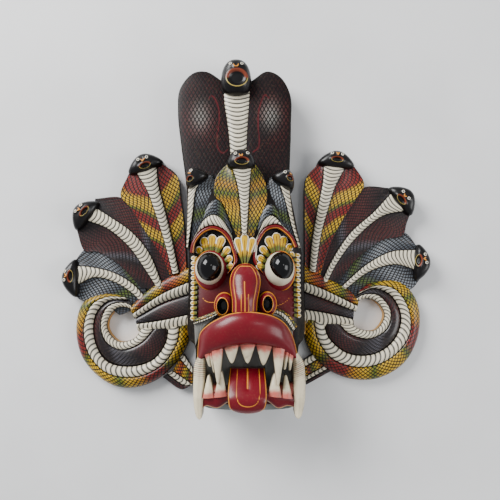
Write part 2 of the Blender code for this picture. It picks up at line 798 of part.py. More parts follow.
# Hinges
def hinge(side, finish):
    """A butt hinge in the gap: a leaf on the face block with the pin, and a leaf on the wing."""
    sign = -1.0 if side == "left" else 1.0
    start = hinge_middle_y - hinge_length / 2
    third = hinge_length / 3
    axis_x = sign * (wall_half_width + wing_gap / 2)
    low = axis_height - knuckle_radius - leaf_height
    face_x = sign * (wall_half_width + fit_gap)
    wing_x = sign * (wall_half_width + wing_gap - fit_gap)

    def leaf(name, x, inward):
        other = x + inward * leaf_thickness
        return box(
            name,
            (min(x, other), start, low),
            (max(x, other), start + hinge_length, axis_height - 0.5),
            helpers,
        )

    def knuckle(name, first, last, radius):
        ends = (start + first * third + fit_gap / 2, start + last * third - fit_gap / 2)
        return rod(name, (axis_x, ends[0], axis_height), (axis_x, ends[1], axis_height), radius, helpers)

    face_leaf = leaf(f"{side}_hinge_face_leaf", face_x, sign)
    wing_leaf = leaf(f"{side}_hinge_wing_leaf", wing_x, -sign)
    pin = rod(
        f"{side}_pin",
        (axis_x, start + 0.2, axis_height),
        (axis_x, start + hinge_length - 0.2, axis_height),
        pin_radius,
        helpers,
    )
    face_parts = [knuckle(f"{side}_knuckle_1", 0, 1, knuckle_radius), pin]
    face_parts.append(knuckle(f"{side}_knuckle_3", 2, 3, knuckle_radius))
    room = knuckle_radius + bore_clearance
    face_notch = rod(
        f"{side}_face_notch",
        (axis_x, start + third - fit_gap / 2, axis_height),
        (axis_x, start + 2 * third + fit_gap / 2, axis_height),
        room,
        helpers,
    )
    wing_middle = knuckle(f"{side}_knuckle_2", 1, 2, knuckle_radius)
    bore = rod(
        f"{side}_bore",
        (axis_x, start - 1.0, axis_height),
        (axis_x, start + hinge_length + 1.0, axis_height),
        pin_radius + bore_clearance,
        helpers,
    )
    wing_notches = []
    for number, (first, last) in enumerate(((0, 1), (2, 3))):
        wing_notches.append(
            rod(
                f"{side}_wing_notch_{number + 1}",
                (axis_x, start + first * third - 1.0 * (number == 0) - fit_gap / 2, axis_height),
                (axis_x, start + last * third + 1.0 * (number == 1) + fit_gap / 2, axis_height),
                room,
                helpers,
            )
        )
    boolean(face_leaf, "room for the wing knuckle", "DIFFERENCE", face_notch)
    face_notch.hide_render = True
    face_notch.display_type = "WIRE"
    carve(face_leaf, face_parts, [], finish)
    carve(wing_leaf, [wing_middle], wing_notches + [bore], finish)


def main():
    start_clean()
    face_finish = material("painted_face", (0.30, 0.05, 0.06), 0.35)
    wing_finish = material("painted_wing", (0.55, 0.38, 0.08), 0.38)
    brass = material("brass", (0.72, 0.53, 0.25), 0.3, 1.0)
    face(face_finish)
    wing("left", left_cobras, left_coil, left_necks, left_tail, wing_finish)
    wing("right", right_cobras, right_coil, right_necks, right_tail, wing_finish)
    for side in ("left", "right"):
        hinge(side, brass)


main()
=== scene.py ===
# Naga raksha mask: a carved and painted demon face under a crown of cobras, with a hinged wing each side.
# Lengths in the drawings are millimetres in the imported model's frame: +X right, +Y up the face, +Z out of it.
import math

import bmesh
import bpy
import numpy as np
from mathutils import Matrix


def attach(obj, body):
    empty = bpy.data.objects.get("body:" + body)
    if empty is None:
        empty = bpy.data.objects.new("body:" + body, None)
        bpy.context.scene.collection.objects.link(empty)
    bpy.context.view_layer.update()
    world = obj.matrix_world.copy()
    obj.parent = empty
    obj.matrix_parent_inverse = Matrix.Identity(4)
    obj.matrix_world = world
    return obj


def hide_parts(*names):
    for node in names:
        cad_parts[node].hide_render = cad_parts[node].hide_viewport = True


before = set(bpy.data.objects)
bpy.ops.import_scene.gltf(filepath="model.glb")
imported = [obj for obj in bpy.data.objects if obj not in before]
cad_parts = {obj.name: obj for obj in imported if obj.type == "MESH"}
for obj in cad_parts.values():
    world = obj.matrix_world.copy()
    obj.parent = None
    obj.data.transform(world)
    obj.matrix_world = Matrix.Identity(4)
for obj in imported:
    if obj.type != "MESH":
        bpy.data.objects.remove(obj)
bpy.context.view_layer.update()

mm = 0.001
print("frame loaded:", sorted(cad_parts))

# Where a piece belongs: the body it moves with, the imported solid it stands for, and its finish slot
places = {
    "face": ("mask", "face", "painted_face"),
    "left": ("left_wing", "left_wing", "painted_wing"),
    "right": ("right_wing", "right_wing", "painted_wing"),
}
scutePitch = 4.9     # belly plates of the snakes


# Shapes: each is worked out as whole arrays of stations by columns
def curveThrough(points, count):
    # smooth curve through the points: cubic pieces timed by the root of each step, worked out at 24 places
    # a piece and then spaced evenly
    points = np.array(points, dtype=float)
    steps = np.sqrt(np.linalg.norm(np.diff(points, axis=0), axis=1))
    knots = np.concatenate([[0.0], np.cumsum(steps)])
    slopes = np.gradient(points, knots, axis=0)
    where = np.linspace(0.0, knots[-1], 24 * len(steps) + 1)
    cell = np.clip(np.searchsorted(knots, where, side="right") - 1, 0, len(steps) - 1)
    width = steps[cell][:, None]
    t = (where - knots[cell])[:, None] / width
    start = points[cell] * (2 * t**3 - 3 * t**2 + 1) + slopes[cell] * width * (t**3 - 2 * t**2 + t)
    end = points[cell + 1] * (3 * t**2 - 2 * t**3) + slopes[cell + 1] * width * (t**3 - t**2)
    fine = start + end
    travelled = np.concatenate([[0.0], np.cumsum(np.linalg.norm(np.diff(fine, axis=0), axis=1))])
    even = np.linspace(0.0, travelled[-1], count)
    return np.column_stack([np.interp(even, travelled, column) for column in fine.T])


def raised(points, *heights):
    # outline points with a height that runs through the given heights from the first point to the last
    flat = np.array(points, dtype=float)[:, :2]
    share = np.linspace(0.0, 1.0, len(flat))
    return np.column_stack([flat, np.interp(share, np.linspace(0.0, 1.0, len(heights)), heights)])


def distanceTo(points, line):
    # shortest distance in the plane from every point to the drawn line
    flat = points[..., :2].reshape(-1, 2)
    line = np.array(line, dtype=float)[:, :2]
    start = line[:-1]
    step = np.diff(line, axis=0)
    offset = flat[:, None] - start[None]
    share = np.clip((offset * step).sum(-1) / np.maximum((step**2).sum(-1), 1e-9), 0.0, 1.0)
    return np.linalg.norm(offset - share[..., None] * step, axis=-1).min(1).reshape(points.shape[:-1])


def smoothStep(value, low, high):
    # 0 below low and 1 above high, with an even start and finish
    t = np.clip((value - low) / (high - low), 0.0, 1.0)
    return t * t * (3 - 2 * t)


def bell(distance, reach):
    # 1 at no distance, falling as exp(-(distance / reach) ** 2)
    return np.exp(-((distance / reach) ** 2))


def ridge(left, right, rise, base, columns=12, fillet=0.0, power=1.0, scutes=0.0, bow=2.4, pitch=scutePitch):
    # from the left edge to the right one: a straight line plus rise * sin(pi * share) ** power, with walls
    # down to the base; belly plates sink the surface by scutes along bowed lines a pitch apart
    stations = len(left)
    turn = np.linspace(0.0, math.pi, columns)
    share = (1 - np.cos(turn)) / 2
    rises = np.atleast_1d(np.array(rise, dtype=float))
    rises = np.interp(np.linspace(0, 1, stations), np.linspace(0, 1, len(rises)), rises)
    surface = left[:, None] * (1 - share)[None, :, None] + right[:, None] * share[None, :, None]
    surface[..., 2] += rises[:, None] * np.abs(np.sin(turn)) ** power
    width = np.linalg.norm((right - left)[:, :2], axis=1)[:, None]
    fromLeft = width * share
    fromRight = width * (1 - share)
    if fillet:
        for gap in (fromLeft, fromRight):
            surface[..., 2] -= fillet * (1 - np.sqrt(1 - np.clip(1 - gap / fillet, 0, 1) ** 2))
    middle = (left + right) / 2
    along = np.concatenate([[0.0], np.cumsum(np.linalg.norm(np.diff(middle, axis=0), axis=1))])[:, None]
    plate = (along - bow * (1 - (2 * share - 1) ** 2)) / pitch
    if scutes:
        cleft = np.abs(plate - np.round(plate))
        surface[..., 2] -= scutes * bell(cleft, 0.11) * np.sin(turn) ** 0.5
    feet = [left.copy(), right.copy()]
    for foot in feet:
        foot[:, 2] = base
    rings = np.concatenate([feet[0][:, None], surface, feet[1][:, None]], axis=1)
    across = np.concatenate([[-0.3], share, [1.3]])[None, :] + 0 * along

    def walled(values):
        # the edge values again at the foot of each wall
        return np.concatenate([values[:, :1], values, values[:, -1:]], axis=1)

    alongAll = walled(along + 0 * fromLeft)
    run = np.stack([alongAll, walled(fromLeft), walled(fromRight)], axis=-1)
    shares = np.stack([alongAll / along[-1], across, walled(plate)], axis=-1)
    return {"rings": rings, "marks": {"run": run, "share": shares}}


def drawnRidge(left, right, rise, base, stations=40, **options):
    # a ridge between two smooth curves
    return ridge(curveThrough(left, stations), curveThrough(right, stations), rise, base, **options)


def dome(centre, radii, base, boxy=1.0, turn=0.0, stations=26, around=72, flat=2.0, taper=0.0, power=0.5):
    # height = radius_z * (1 - r ** flat) ** power over an outline whose corners fill out as boxy drops below 1,
    # and whose width grows from 1 - taper at its top to 1 + taper at its bottom
    angle = np.linspace(0, 2 * math.pi, around, endpoint=False)[None, :]
    reach = np.sin(np.linspace(0.04, math.pi / 2, stations))[:, None]
    outline = (np.abs(np.cos(angle)) ** (2 / boxy) + np.abs(np.sin(angle)) ** (2 / boxy)) ** (-boxy / 2)
    x = radii[0] * reach * outline * np.cos(angle)
    y = radii[1] * reach * outline * np.sin(angle)
    x = x * (1 - taper * y / radii[1])
    z = centre[2] + radii[2] * np.clip(1 - reach**flat, 0, 1) ** power + 0 * angle
    swing = math.radians(turn)
    rings = np.stack([
        centre[0] + x * math.cos(swing) - y * math.sin(swing),
        centre[1] + x * math.sin(swing) + y * math.cos(swing),
        z,
    ], axis=-1)
    foot = rings[-1:].copy()
    foot[..., 2] = base
    return {"rings": np.concatenate([rings, foot]), "marks": {"reach": np.vstack([reach, [[1.2]]]) + 0 * angle}}


def goldAlong(form, part, inset):
    # a gold line at the inset from a ridge's left edge (part 1) or its right one (part 2)
    form["marks"]["gold"] = np.abs(form["marks"]["run"][..., part] - inset)


def goldRim(form, radius):
    # a gold line 1 mm inside a dome's rim, where (1 - r) * radius is 1, and no dark outline
    form["marks"]["gold"] = np.abs((1 - form["marks"]["reach"]) * radius - 1.0)
    form["marks"]["run"] = np.full_like(form["rings"], 5.0)


def addPiece(name, form, finish, place="face", smooth=42.0):
    # one closed mesh: rings joined in order, with a fan of faces over each end, in the named finish
    rings = np.asarray(form["rings"])
    stations, columns = rings.shape[:2]
    ends = np.stack([rings[0].mean(0), rings[-1].mean(0)])
    points = np.concatenate([rings.reshape(-1, 3), ends]) * mm
    row, column = np.meshgrid(np.arange(stations - 1), np.arange(columns), indexing="ij")
    following = (column + 1) % columns
    quads = np.stack([
        row * columns + column,
        row * columns + following,
        (row + 1) * columns + following,
        (row + 1) * columns + column,
    ], axis=-1).reshape(-1, 4)
    ring = np.arange(columns)
    after = (ring + 1) % columns
    last = (stations - 1) * columns
    fans = [
        np.stack([after, ring, np.full(columns, stations * columns)], axis=-1),
        np.stack([last + ring, last + after, np.full(columns, stations * columns + 1)], axis=-1),
    ]
    mesh = bpy.data.meshes.new(name)
    mesh.from_pydata(points.tolist(), [], quads.tolist() + fans[0].tolist() + fans[1].tolist())
    for mark, values in form["marks"].items():
        values = np.asarray(values, dtype=float)
        deep = values.ndim == 3
        flat = values.reshape(stations * columns, -1)
        flat = np.concatenate([flat, [values[0].mean(0)], [values[-1].mean(0)]] if deep else
                              [flat, [[values[0].mean()]], [[values[-1].mean()]]])
        layer = mesh.attributes.new(mark, "FLOAT_VECTOR" if deep else "FLOAT", "POINT")
        layer.data.foreach_set("vector" if deep else "value", flat.ravel())
    bm = bmesh.new()
    bm.from_mesh(mesh)
    bmesh.ops.recalc_face_normals(bm, faces=bm.faces)
    bm.to_mesh(mesh)
    bm.free()
    mesh.shade_smooth()
    mesh.set_sharp_from_angle(angle=math.radians(smooth))
    piece = bpy.data.objects.new(name, mesh)
    bpy.context.scene.collection.objects.link(piece)
    mesh.materials.append(finishes[finish])
    body, node, slotName = places[place]
    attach(piece, body)
    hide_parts(node)


# Paints: colours are the painter's own, as red, green and blue from 0 to 255, except that the sheen and the pale grey
# also serve as painted highlights, the line grey as painted shade on the belly plates, and the mouth grey as painted
# light in the mouth and painted shadow on the chin
colours = {
    "crimson": (122, 12, 30), "deepRed": (116, 20, 24), "gold": (226, 146, 44), "cream": (236, 226, 200),
    "bone": (230, 216, 184), "stain": (128, 112, 88), "lineAndShadeGrey": (44, 46, 46), "snakeBlack": (8, 8, 10),
    "outline": (14, 10, 10), "orange": (192, 92, 30), "yellow": (208, 166, 32), "green": (86, 104, 30),
    "red": (130, 34, 30), "hoodBrown": (34, 18, 20), "hoodRed": (74, 25, 26), "paleGreyAndHighlight": (142, 140, 134),
    "wallGrey": (30, 25, 24), "slate": (72, 78, 86), "slateLight": (136, 142, 148), "gumPink": (206, 104, 92),
    "litMouthShadedChinGrey": (150, 154, 150), "wood": (186, 150, 108), "ochre": (190, 136, 24), "white": (244, 236, 216),
    "darkBrown": (32, 22, 26), "lipOrange": (124, 56, 34), "paleGold": (186, 164, 84),
    "petalYellow": (216, 170, 0), "curlRed": (86, 22, 28), "cheekRed": (92, 6, 18), "paintedSheen": (86, 84, 92),
    "brassBright": (206, 162, 88), "brassDull": (128, 92, 46), "floor": (240, 240, 240),
    "floorShade": (231, 231, 231),
}
# What all finishes share; the relief and the bare wood of the flat back are measured in metres
coating = {
    "coatRoughness": 0.12, "reliefDepth": 0.0004, "bareBack": (0.0007, 0.0011), "cloudShare": 0.22,
    "brushShare": 0.25,
}


def tint(name):
    # the named colour as the shader wants it: linear light, from 0 to 1
    share = np.array(colours[name]) / 255.0
    linear = np.where(share <= 0.04045, share / 12.92, ((share + 0.055) / 1.055) ** 2.4)
    return (*linear.tolist(), 1.0)


class Paint:
    # one painted finish: each method adds nodes to it and gives back the socket with the result
    def __init__(self, name, roughness, coat=0.0, metallic=0.0, specular=0.35):
        self.material = bpy.data.materials.new(name)
        self.material.use_nodes = True
        self.tree = self.material.node_tree
        self.shader = self.tree.nodes["Principled BSDF"]
        self.shader.inputs["Roughness"].default_value = roughness
        self.shader.inputs["Metallic"].default_value = metallic
        self.shader.inputs["Coat Weight"].default_value = coat
        self.shader.inputs["Coat Roughness"].default_value = coating["coatRoughness"]
        self.shader.inputs["Specular IOR Level"].default_value = specular
        self.made = {}

    def node(self, kind):
        return self.tree.nodes.new(kind)

    def feed(self, socket, value):
        # another socket is linked, a colour's name or a number is set
        if isinstance(value, bpy.types.NodeSocket):
            self.tree.links.new(value, socket)
        else:
            socket.default_value = tint(value) if isinstance(value, str) else value

    def math(self, operation, *values):
        # the result of one operation on sockets or numbers
        node = self.node("ShaderNodeMath")
        node.operation = operation
        for socket, value in zip(node.inputs, values):
            self.feed(socket, value)
        return node.outputs[0]

    def times(self, *values):
        return self.math("MULTIPLY", *values)

    def over(self, *values):
        return self.math("DIVIDE", *values)

    def plus(self, *values):
        return self.math("ADD", *values)

    def minus(self, *values):
        return self.math("SUBTRACT", *values)

    def mark(self, name, part=None):
        # part 0, 1 or 2 of a mark kept on the mesh, or the one number of a single mark
        if name not in self.made:
            node = self.node("ShaderNodeAttribute")
            node.attribute_name = name
            split = self.node("ShaderNodeSeparateXYZ")
            self.tree.links.new(node.outputs["Vector"], split.inputs[0])
            self.made[name] = (node, split)
        node, split = self.made[name]
        return node.outputs["Fac"] if part is None else split.outputs[part]

    def place(self, part=None):
        # the point's place on the object, in metres, whole or as x, y or z
        if "place" not in self.made:
            node = self.node("ShaderNodeTexCoord")
            split = self.node("ShaderNodeSeparateXYZ")
            self.tree.links.new(node.outputs["Object"], split.inputs[0])
            self.made["place"] = (node, split)
        node, split = self.made["place"]
        return node.outputs["Object"] if part is None else split.outputs[part]

    def noise(self, scale, detail=3.0):
        # soft clouds from 0 to 1, about as many to the metre as the scale says
        node = self.node("ShaderNodeTexNoise")
        self.feed(node.inputs["Vector"], self.place())
        node.inputs["Scale"].default_value = scale
        node.inputs["Detail"].default_value = detail
        return node.outputs["Fac"]

    def step(self, value, low, high):
        # 0 below low and 1 above high, smooth between
        node = self.node("ShaderNodeMapRange")
        node.interpolation_type = "SMOOTHSTEP"
        for socket, part in zip(("Value", "From Min", "From Max"), (value, low, high)):
            self.feed(node.inputs[socket], part)
        return node.outputs["Result"]

    def within(self, value, width, soft=0.25):
        # 1 where the value is under the width, 0 above it
        return self.minus(1.0, self.step(value, width - soft, width + soft))

    def mix(self, share, first, second):
        # first where the share is 0, second where it is 1
        node = self.node("ShaderNodeMix")
        node.data_type = "RGBA"
        self.feed(node.inputs[0], share)
        self.feed(node.inputs[6], first)
        self.feed(node.inputs[7], second)
        return node.outputs[2]

    def ramp(self, value, stops):
        # stops are (position, colour name) from first to last
        node = self.node("ShaderNodeValToRGB")
        self.feed(node.inputs["Fac"], value)
        while len(node.color_ramp.elements) < len(stops):
            node.color_ramp.elements.new(1.0)
        for element, (position, name) in zip(node.color_ramp.elements, stops):
            element.position = position
            element.color = tint(name)
        return node.outputs["Color"]

    def stripes(self, value, width):
        # 1 on thin lines at whole numbers of the value, width as a share of the gap between them
        fraction = self.math("FRACT", value)
        centred = self.math("ABSOLUTE", self.minus(fraction, 0.5))
        return self.step(centred, 0.5 - width * 0.85, 0.5 - width * 0.6)

    def lattice(self, first, second, high, wide, width):
        # two families of slanting lines that leave diamonds, high along the first value and wide along the other
        a = self.over(first, high)
        b = self.over(second, wide)
        wobble = self.times(self.noise(60.0, 1.0), 0.35)
        one = self.plus(self.plus(a, b), wobble)
        two = self.plus(self.minus(a, b), wobble)
        return self.math("MAXIMUM", self.stripes(one, width), self.stripes(two, width))

    def clouded(self, colour, share=0.35):
        # soft dark clouds over the colour
        return self.mix(self.times(self.noise(24.0, 2.0), share), colour, "outline")

    def gilded(self, colour, width):
        # gold lines where the gold mark is under the width
        return self.mix(self.within(self.mark("gold"), width, 0.16), colour, "gold")

    def edgeGap(self):
        # distance in millimetres to the nearer edge of a ridge
        return self.math("MINIMUM", self.mark("run", 1), self.mark("run", 2))

    def outlined(self, colour, width, soft=0.2):
        # a dark line along both edges of a ridge
        return self.mix(self.within(self.edgeGap(), width, soft), colour, "outline")

    def walled(self, colour, wall="wallGrey"):
        # another colour on the straight sides of a ridge, which lie outside the shares 0 to 1
        outside = self.math("ABSOLUTE", self.minus(self.mark("share", 1), 0.5))
        return self.mix(self.step(outside, 0.503, 0.512), colour, wall)

    def finish(self, colour, relief=None, strength=0.3, wear=0.06):
        # brush marks and light wear over the colour, bare wood on the flat back, and a low relief
        worn = self.times(self.step(self.noise(420.0, 4.0), 0.52, 0.75), wear)
        colour = self.mix(worn, colour, "wood")
        cloud = self.times(self.step(self.noise(38.0, 4.0), 0.35, 0.8), coating["cloudShare"])
        colour = self.mix(cloud, colour, "outline")
        back = self.minus(1.0, self.step(self.place(2), *coating["bareBack"]))
        self.feed(self.shader.inputs["Base Color"], self.mix(back, colour, "wood"))
        brush = self.times(self.noise(260.0), coating["brushShare"])
        height = brush if relief is None else self.plus(brush, relief)
        bump = self.node("ShaderNodeBump")
        bump.inputs["Strength"].default_value = strength
        bump.inputs["Distance"].default_value = coating["reliefDepth"]
        self.feed(bump.inputs["Height"], height)
        self.tree.links.new(bump.outputs["Normal"], self.shader.inputs["Normal"])
        return self.material


def hatchedPaint(name, zones, pitch, lineWidth=0.23, repeat=None, gloss=0.06):
    # colour zones along the snake, wavy and bent back across a hood, under dark crossing lines
    paint = Paint(name, roughness=0.36, coat=gloss)
    along = paint.mark("share", 0)
    if repeat:
        along = paint.math("FRACT", paint.over(paint.mark("run", 0), repeat))
    curved = paint.times(paint.minus(paint.noise(30.0, 2.0), 0.5), 0.12)
    tilt = paint.times(paint.mark("lean"), -0.13)
    zone = paint.plus(along, paint.plus(curved, tilt))
    colour = paint.ramp(zone, zones)
    lines = paint.lattice(paint.mark("run", 0), paint.mark("run", 1), *pitch, lineWidth)
    colour = paint.outlined(paint.mix(lines, colour, "outline"), 0.5)
    return paint.finish(paint.walled(colour), relief=paint.times(lines, -1.0))


def bellyPaint(name, wall="wallGrey"):
    # cream belly plates, each darkened by painted shade towards its end, parted by bowed grey lines
    paint = Paint(name, roughness=0.36, coat=0.08)
    plate = paint.mark("share", 2)
    fraction = paint.math("FRACT", plate)
    # painted shade: each plate grows darker towards its end, in the grey of the lines
    paintedPlateShade = paint.times(paint.math("POWER", fraction, 5.0), 0.6)
    colour = paint.mix(paintedPlateShade, "cream", "lineAndShadeGrey")
    colour = paint.mix(paint.times(paint.stripes(plate, 0.25), 0.9), colour, "lineAndShadeGrey")
    return paint.finish(paint.walled(paint.outlined(colour, 0.7), wall), wear=0.1)


def plainPaint(name, colour, roughness=0.25, coat=0.3, gold=None, edge=None, wear=0.04):
    # one gloss colour, with thin gold lines where the mark says so and a dark outline along the edges
    paint = Paint(name, roughness=roughness, coat=coat)
    colour = paint.clouded(colour)
    if gold:
        colour = paint.gilded(colour, gold)
    if edge:
        colour = paint.outlined(colour, edge)
    return paint.finish(colour, wear=wear)


def crownPaint():
    # dark hood with reddish clouds, a pale grey painted highlight on each lobe, wide diamonds and one thin red curl
    paint = Paint("crown_hood_paint", roughness=0.45, specular=0.18)
    # the reddish clouds are strongest round each lobe's painted highlight
    nearHighlight = paint.math("POWER", paint.mark("patch"), 0.16)
    cloud = paint.times(paint.step(paint.noise(22.0), 0.4, 0.6), nearHighlight)
    colour = paint.mix(cloud, "hoodBrown", "hoodRed")
    # painted highlight: a pale grey reflection of the light in the middle of each lobe
    colour = paint.mix(paint.times(paint.mark("patch"), 0.7), colour, "paleGreyAndHighlight")
    x = paint.times(paint.place(0), 1 / mm)
    y = paint.times(paint.place(1), 1 / mm)
    lines = paint.lattice(y, x, 8.2, 4.5, 0.2)
    colour = paint.mix(lines, colour, "snakeBlack")
    colour = paint.mix(paint.within(paint.mark("curl"), 0.8, 0.35), colour, "curlRed")
    edge = paint.step(paint.mark("edge"), 0.5, 5.0)
    colour = paint.walled(paint.mix(edge, "outline", colour))
    return paint.finish(colour, relief=paint.times(lines, -1.0), strength=0.35)


def headPaint():
    # black gloss with white-ringed eyes, a yellow nose and an open orange mouth
    paint = Paint("snake_head_paint", roughness=0.34, coat=0.05)
    colour = paint.mix(paint.noise(50.0), "snakeBlack", "outline")
    nose = paint.within(paint.mark("nose"), 0.6, 0.2)
    colour = paint.mix(nose, colour, "gold")
    mouth = paint.mark("mouth")
    upper = paint.times(paint.within(mouth, 1.12, 0.06), paint.mark("upper"))
    colour = paint.mix(upper, colour, "lipOrange")
    lowerLine = paint.within(paint.math("ABSOLUTE", paint.minus(mouth, 1.02)), 0.045, 0.02)
    below = paint.minus(1.0, paint.mark("upper"))
    colour = paint.mix(paint.times(lowerLine, below), colour, "paleGold")
    colour = paint.mix(paint.within(mouth, 0.76, 0.06), colour, "snakeBlack")
    eye = paint.mark("eye")
    colour = paint.mix(paint.within(eye, 1.75, 0.15), colour, "white")
    colour = paint.mix(paint.within(eye, 1.0, 0.15), colour, "snakeBlack")
    return paint.finish(colour, strength=0.12, wear=0.0)


def petalPaint():
    # yellow petal with red stripes, green at its foot and a white tip
    paint = Paint("petal_paint", roughness=0.4)
    along = paint.mark("share", 0)
    across = paint.mark("share", 1)
    colour = paint.ramp(along, [(0.0, "green"), (0.24, "green"), (0.42, "petalYellow"), (0.9, "petalYellow")])
    stripe = paint.stripes(paint.plus(paint.times(across, 3.0), 0.5), 0.16)
    reach = paint.times(stripe, paint.within(along, 0.8, 0.08))
    colour = paint.mix(reach, colour, "cheekRed")
    rim = paint.mark("rim")
    white = paint.times(paint.within(rim, 1.4, 0.25), paint.step(along, 0.42, 0.52))
    colour = paint.mix(white, colour, "white")
    return paint.finish(paint.walled(paint.outlined(colour, 0.35, 0.15), "outline"))


def toothPaint(name, root="gumPink", rootShare=0.27, slashes=False):
    # bone with a ragged pink root and faint stains; slashes are dark and red strokes near the root
    paint = Paint(name, roughness=0.4, coat=0.12)
    along = paint.mark("share", 0)
    ragged = paint.plus(along, paint.times(paint.minus(paint.noise(180.0), 0.5), 0.3))
    colour = paint.mix(paint.within(ragged, rootShare, 0.13), "bone", root)
    stain = paint.times(paint.step(paint.noise(95.0, 5.0), 0.5, 0.75), 0.55)
    colour = paint.mix(stain, colour, "stain")
    if slashes:
        lean = paint.plus(paint.times(along, 34.0), paint.mark("share", 1))
        near = paint.minus(paint.within(along, 0.34, 0.1), paint.within(along, 0.12, 0.03))
        cut = paint.times(paint.stripes(lean, 0.16), near)
        colour = paint.mix(cut, colour, "lineAndShadeGrey")
        red = paint.times(paint.stripes(paint.times(lean, 0.5), 0.09), near)
        colour = paint.mix(red, colour, "red")
    rim = paint.times(paint.within(paint.edgeGap(), 0.35), 0.6)
    colour = paint.mix(rim, colour, "lineAndShadeGrey")
    return paint.finish(colour, wear=0.12)


def blockPaint():
    # crimson cheeks with gold lines; black sides, a mouth grey lighter than its dark paint as painted light, a chin
    # grey as painted shadow, and bare wood in the hollow
    paint = Paint("face_block_paint", roughness=0.36, specular=0.2)
    colour = paint.gilded(paint.clouded("cheekRed", 0.4), 0.42)
    for part, name in enumerate(("outline", "litMouthShadedChinGrey", "wood")):
        colour = paint.mix(paint.mark("zone", part), colour, name)
    return paint.finish(colour)


def nostrilPaint():
    # crimson with gold lines along the rim and round the opening, black inside it
    paint = Paint("nostril_wing_paint", roughness=0.26, coat=0.2)
    colour = paint.gilded(paint.clouded("crimson"), 0.45)
    for width, name in ((1.12, "gold"), (1.02, "snakeBlack")):
        colour = paint.mix(paint.within(paint.mark("hole"), width, 0.03), colour, name)
    return paint.finish(colour)


def ballPaint(name, colour, roughness, coat, relief=0.12, wear=0.03):
    # smooth enamel, a little uneven
    paint = Paint(name, roughness=roughness, coat=coat)
    shade = paint.times(paint.noise(70.0, 2.0), 0.12)
    return paint.finish(paint.mix(shade, colour, "outline"), strength=relief, wear=wear)


# Colour zones along a snake: how far along each colour stands, from 0 at the head to 1
hoodZones = [(0.0, "red"), (0.12, "red"), (0.17, "yellow"), (0.27, "yellow"), (0.31, "green"), (0.35, "red"),
             (0.45, "red"), (0.49, "yellow"), (0.58, "yellow"), (0.62, "green"), (0.66, "red"), (0.86, "red"),
             (0.93, "orange"), (1.0, "yellow")]
coilZones = [(0.0, "green"), (0.1, "yellow"), (0.34, "yellow"), (0.42, "green"), (0.5, "red"), (0.68, "red"),
             (0.78, "ochre"), (0.9, "yellow"), (1.0, "green")]
neckZones = [(0.0, "yellow"), (0.2, "orange"), (0.35, "red"), (0.5, "yellow"), (0.7, "green"), (0.85, "red"),
             (1.0, "yellow")]
# the sheen stops in these dark zones are painted highlights: lighter blotches where light is reflected
brownZones = [(0.0, "darkBrown"), (0.2, "hoodRed"), (0.4, "hoodRed"), (0.5, "paintedSheen"), (0.58, "darkBrown"),
              (0.75, "hoodRed"), (0.9, "darkBrown"), (1.0, "hoodBrown")]
darkZones = [(0.0, "darkBrown"), (0.3, "hoodRed"), (0.5, "darkBrown"), (0.72, "paintedSheen"), (0.82, "darkBrown"),
             (1.0, "hoodBrown")]
slateZones = [(0.0, "slate"), (0.3, "slateLight"), (0.5, "slate"), (0.62, "green"), (0.75, "slate"),
              (1.0, "slate")]
centreZones = [(0.0, "yellow"), (0.15, "green"), (0.3, "ochre"), (0.42, "green"), (0.52, "ochre"), (0.68, "yellow"),
               (0.85, "green"), (1.0, "ochre")]
finishes = {
    "upperHood": hatchedPaint("upper_hood_paint", hoodZones, pitch=(6.0, 4.6), lineWidth=0.2),
    "middleHood": hatchedPaint("middle_hood_paint", brownZones, pitch=(5.0, 3.8)),
    "lowerHood": hatchedPaint("lower_hood_paint", slateZones, pitch=(5.2, 4.2)),
    "sideHood": hatchedPaint("side_hood_paint", slateZones, pitch=(6.4, 3.4)),
    "centreHood": hatchedPaint("centre_hood_paint", centreZones, pitch=(7.0, 4.0), lineWidth=0.2),
    "coilBack": hatchedPaint("coil_back_paint", coilZones, repeat=110.0, pitch=(5.6, 4.2), lineWidth=0.2),
    "coilDark": hatchedPaint("coil_dark_paint", darkZones, pitch=(4.6, 3.6), repeat=90.0, gloss=0.35),
    "neckBack": hatchedPaint("neck_back_paint", neckZones, pitch=(5.2, 3.8), lineWidth=0.21),
    "belly": bellyPaint("belly_paint"),
    "holeBelly": bellyPaint("hole_belly_paint", wall="ochre"),
    "crown": crownPaint(),
    "head": headPaint(),
    "petal": petalPaint(),
    "tooth": toothPaint("tooth_paint"),
    "frontTooth": toothPaint("front_tooth_paint", rootShare=0.4),
    "tusk": toothPaint("tusk_paint", root="bone", slashes=True),
    "gum": plainPaint("gum_paint", "gumPink", roughness=0.4, coat=0.1, wear=0.45),
    "crimson": plainPaint("crimson_paint", "crimson", roughness=0.3, coat=0.06, gold=0.45, edge=0.7),
    "redArch": plainPaint("arch_paint", "deepRed", coat=0.1, gold=0.4, edge=0.4),
    "block": blockPaint(),
    "eyeWhite": ballPaint("eye_white_paint", "cream", 0.3, 0.3),
    "pupil": ballPaint("pupil_paint", "snakeBlack", 0.12, 0.0, relief=0.02, wear=0.0),
    "nostril": nostrilPaint(),
    "paleGrey": ballPaint("pale_cheek_paint", "paleGreyAndHighlight", 0.4, 0.1),
}
print("finishes mixed:", len(finishes))

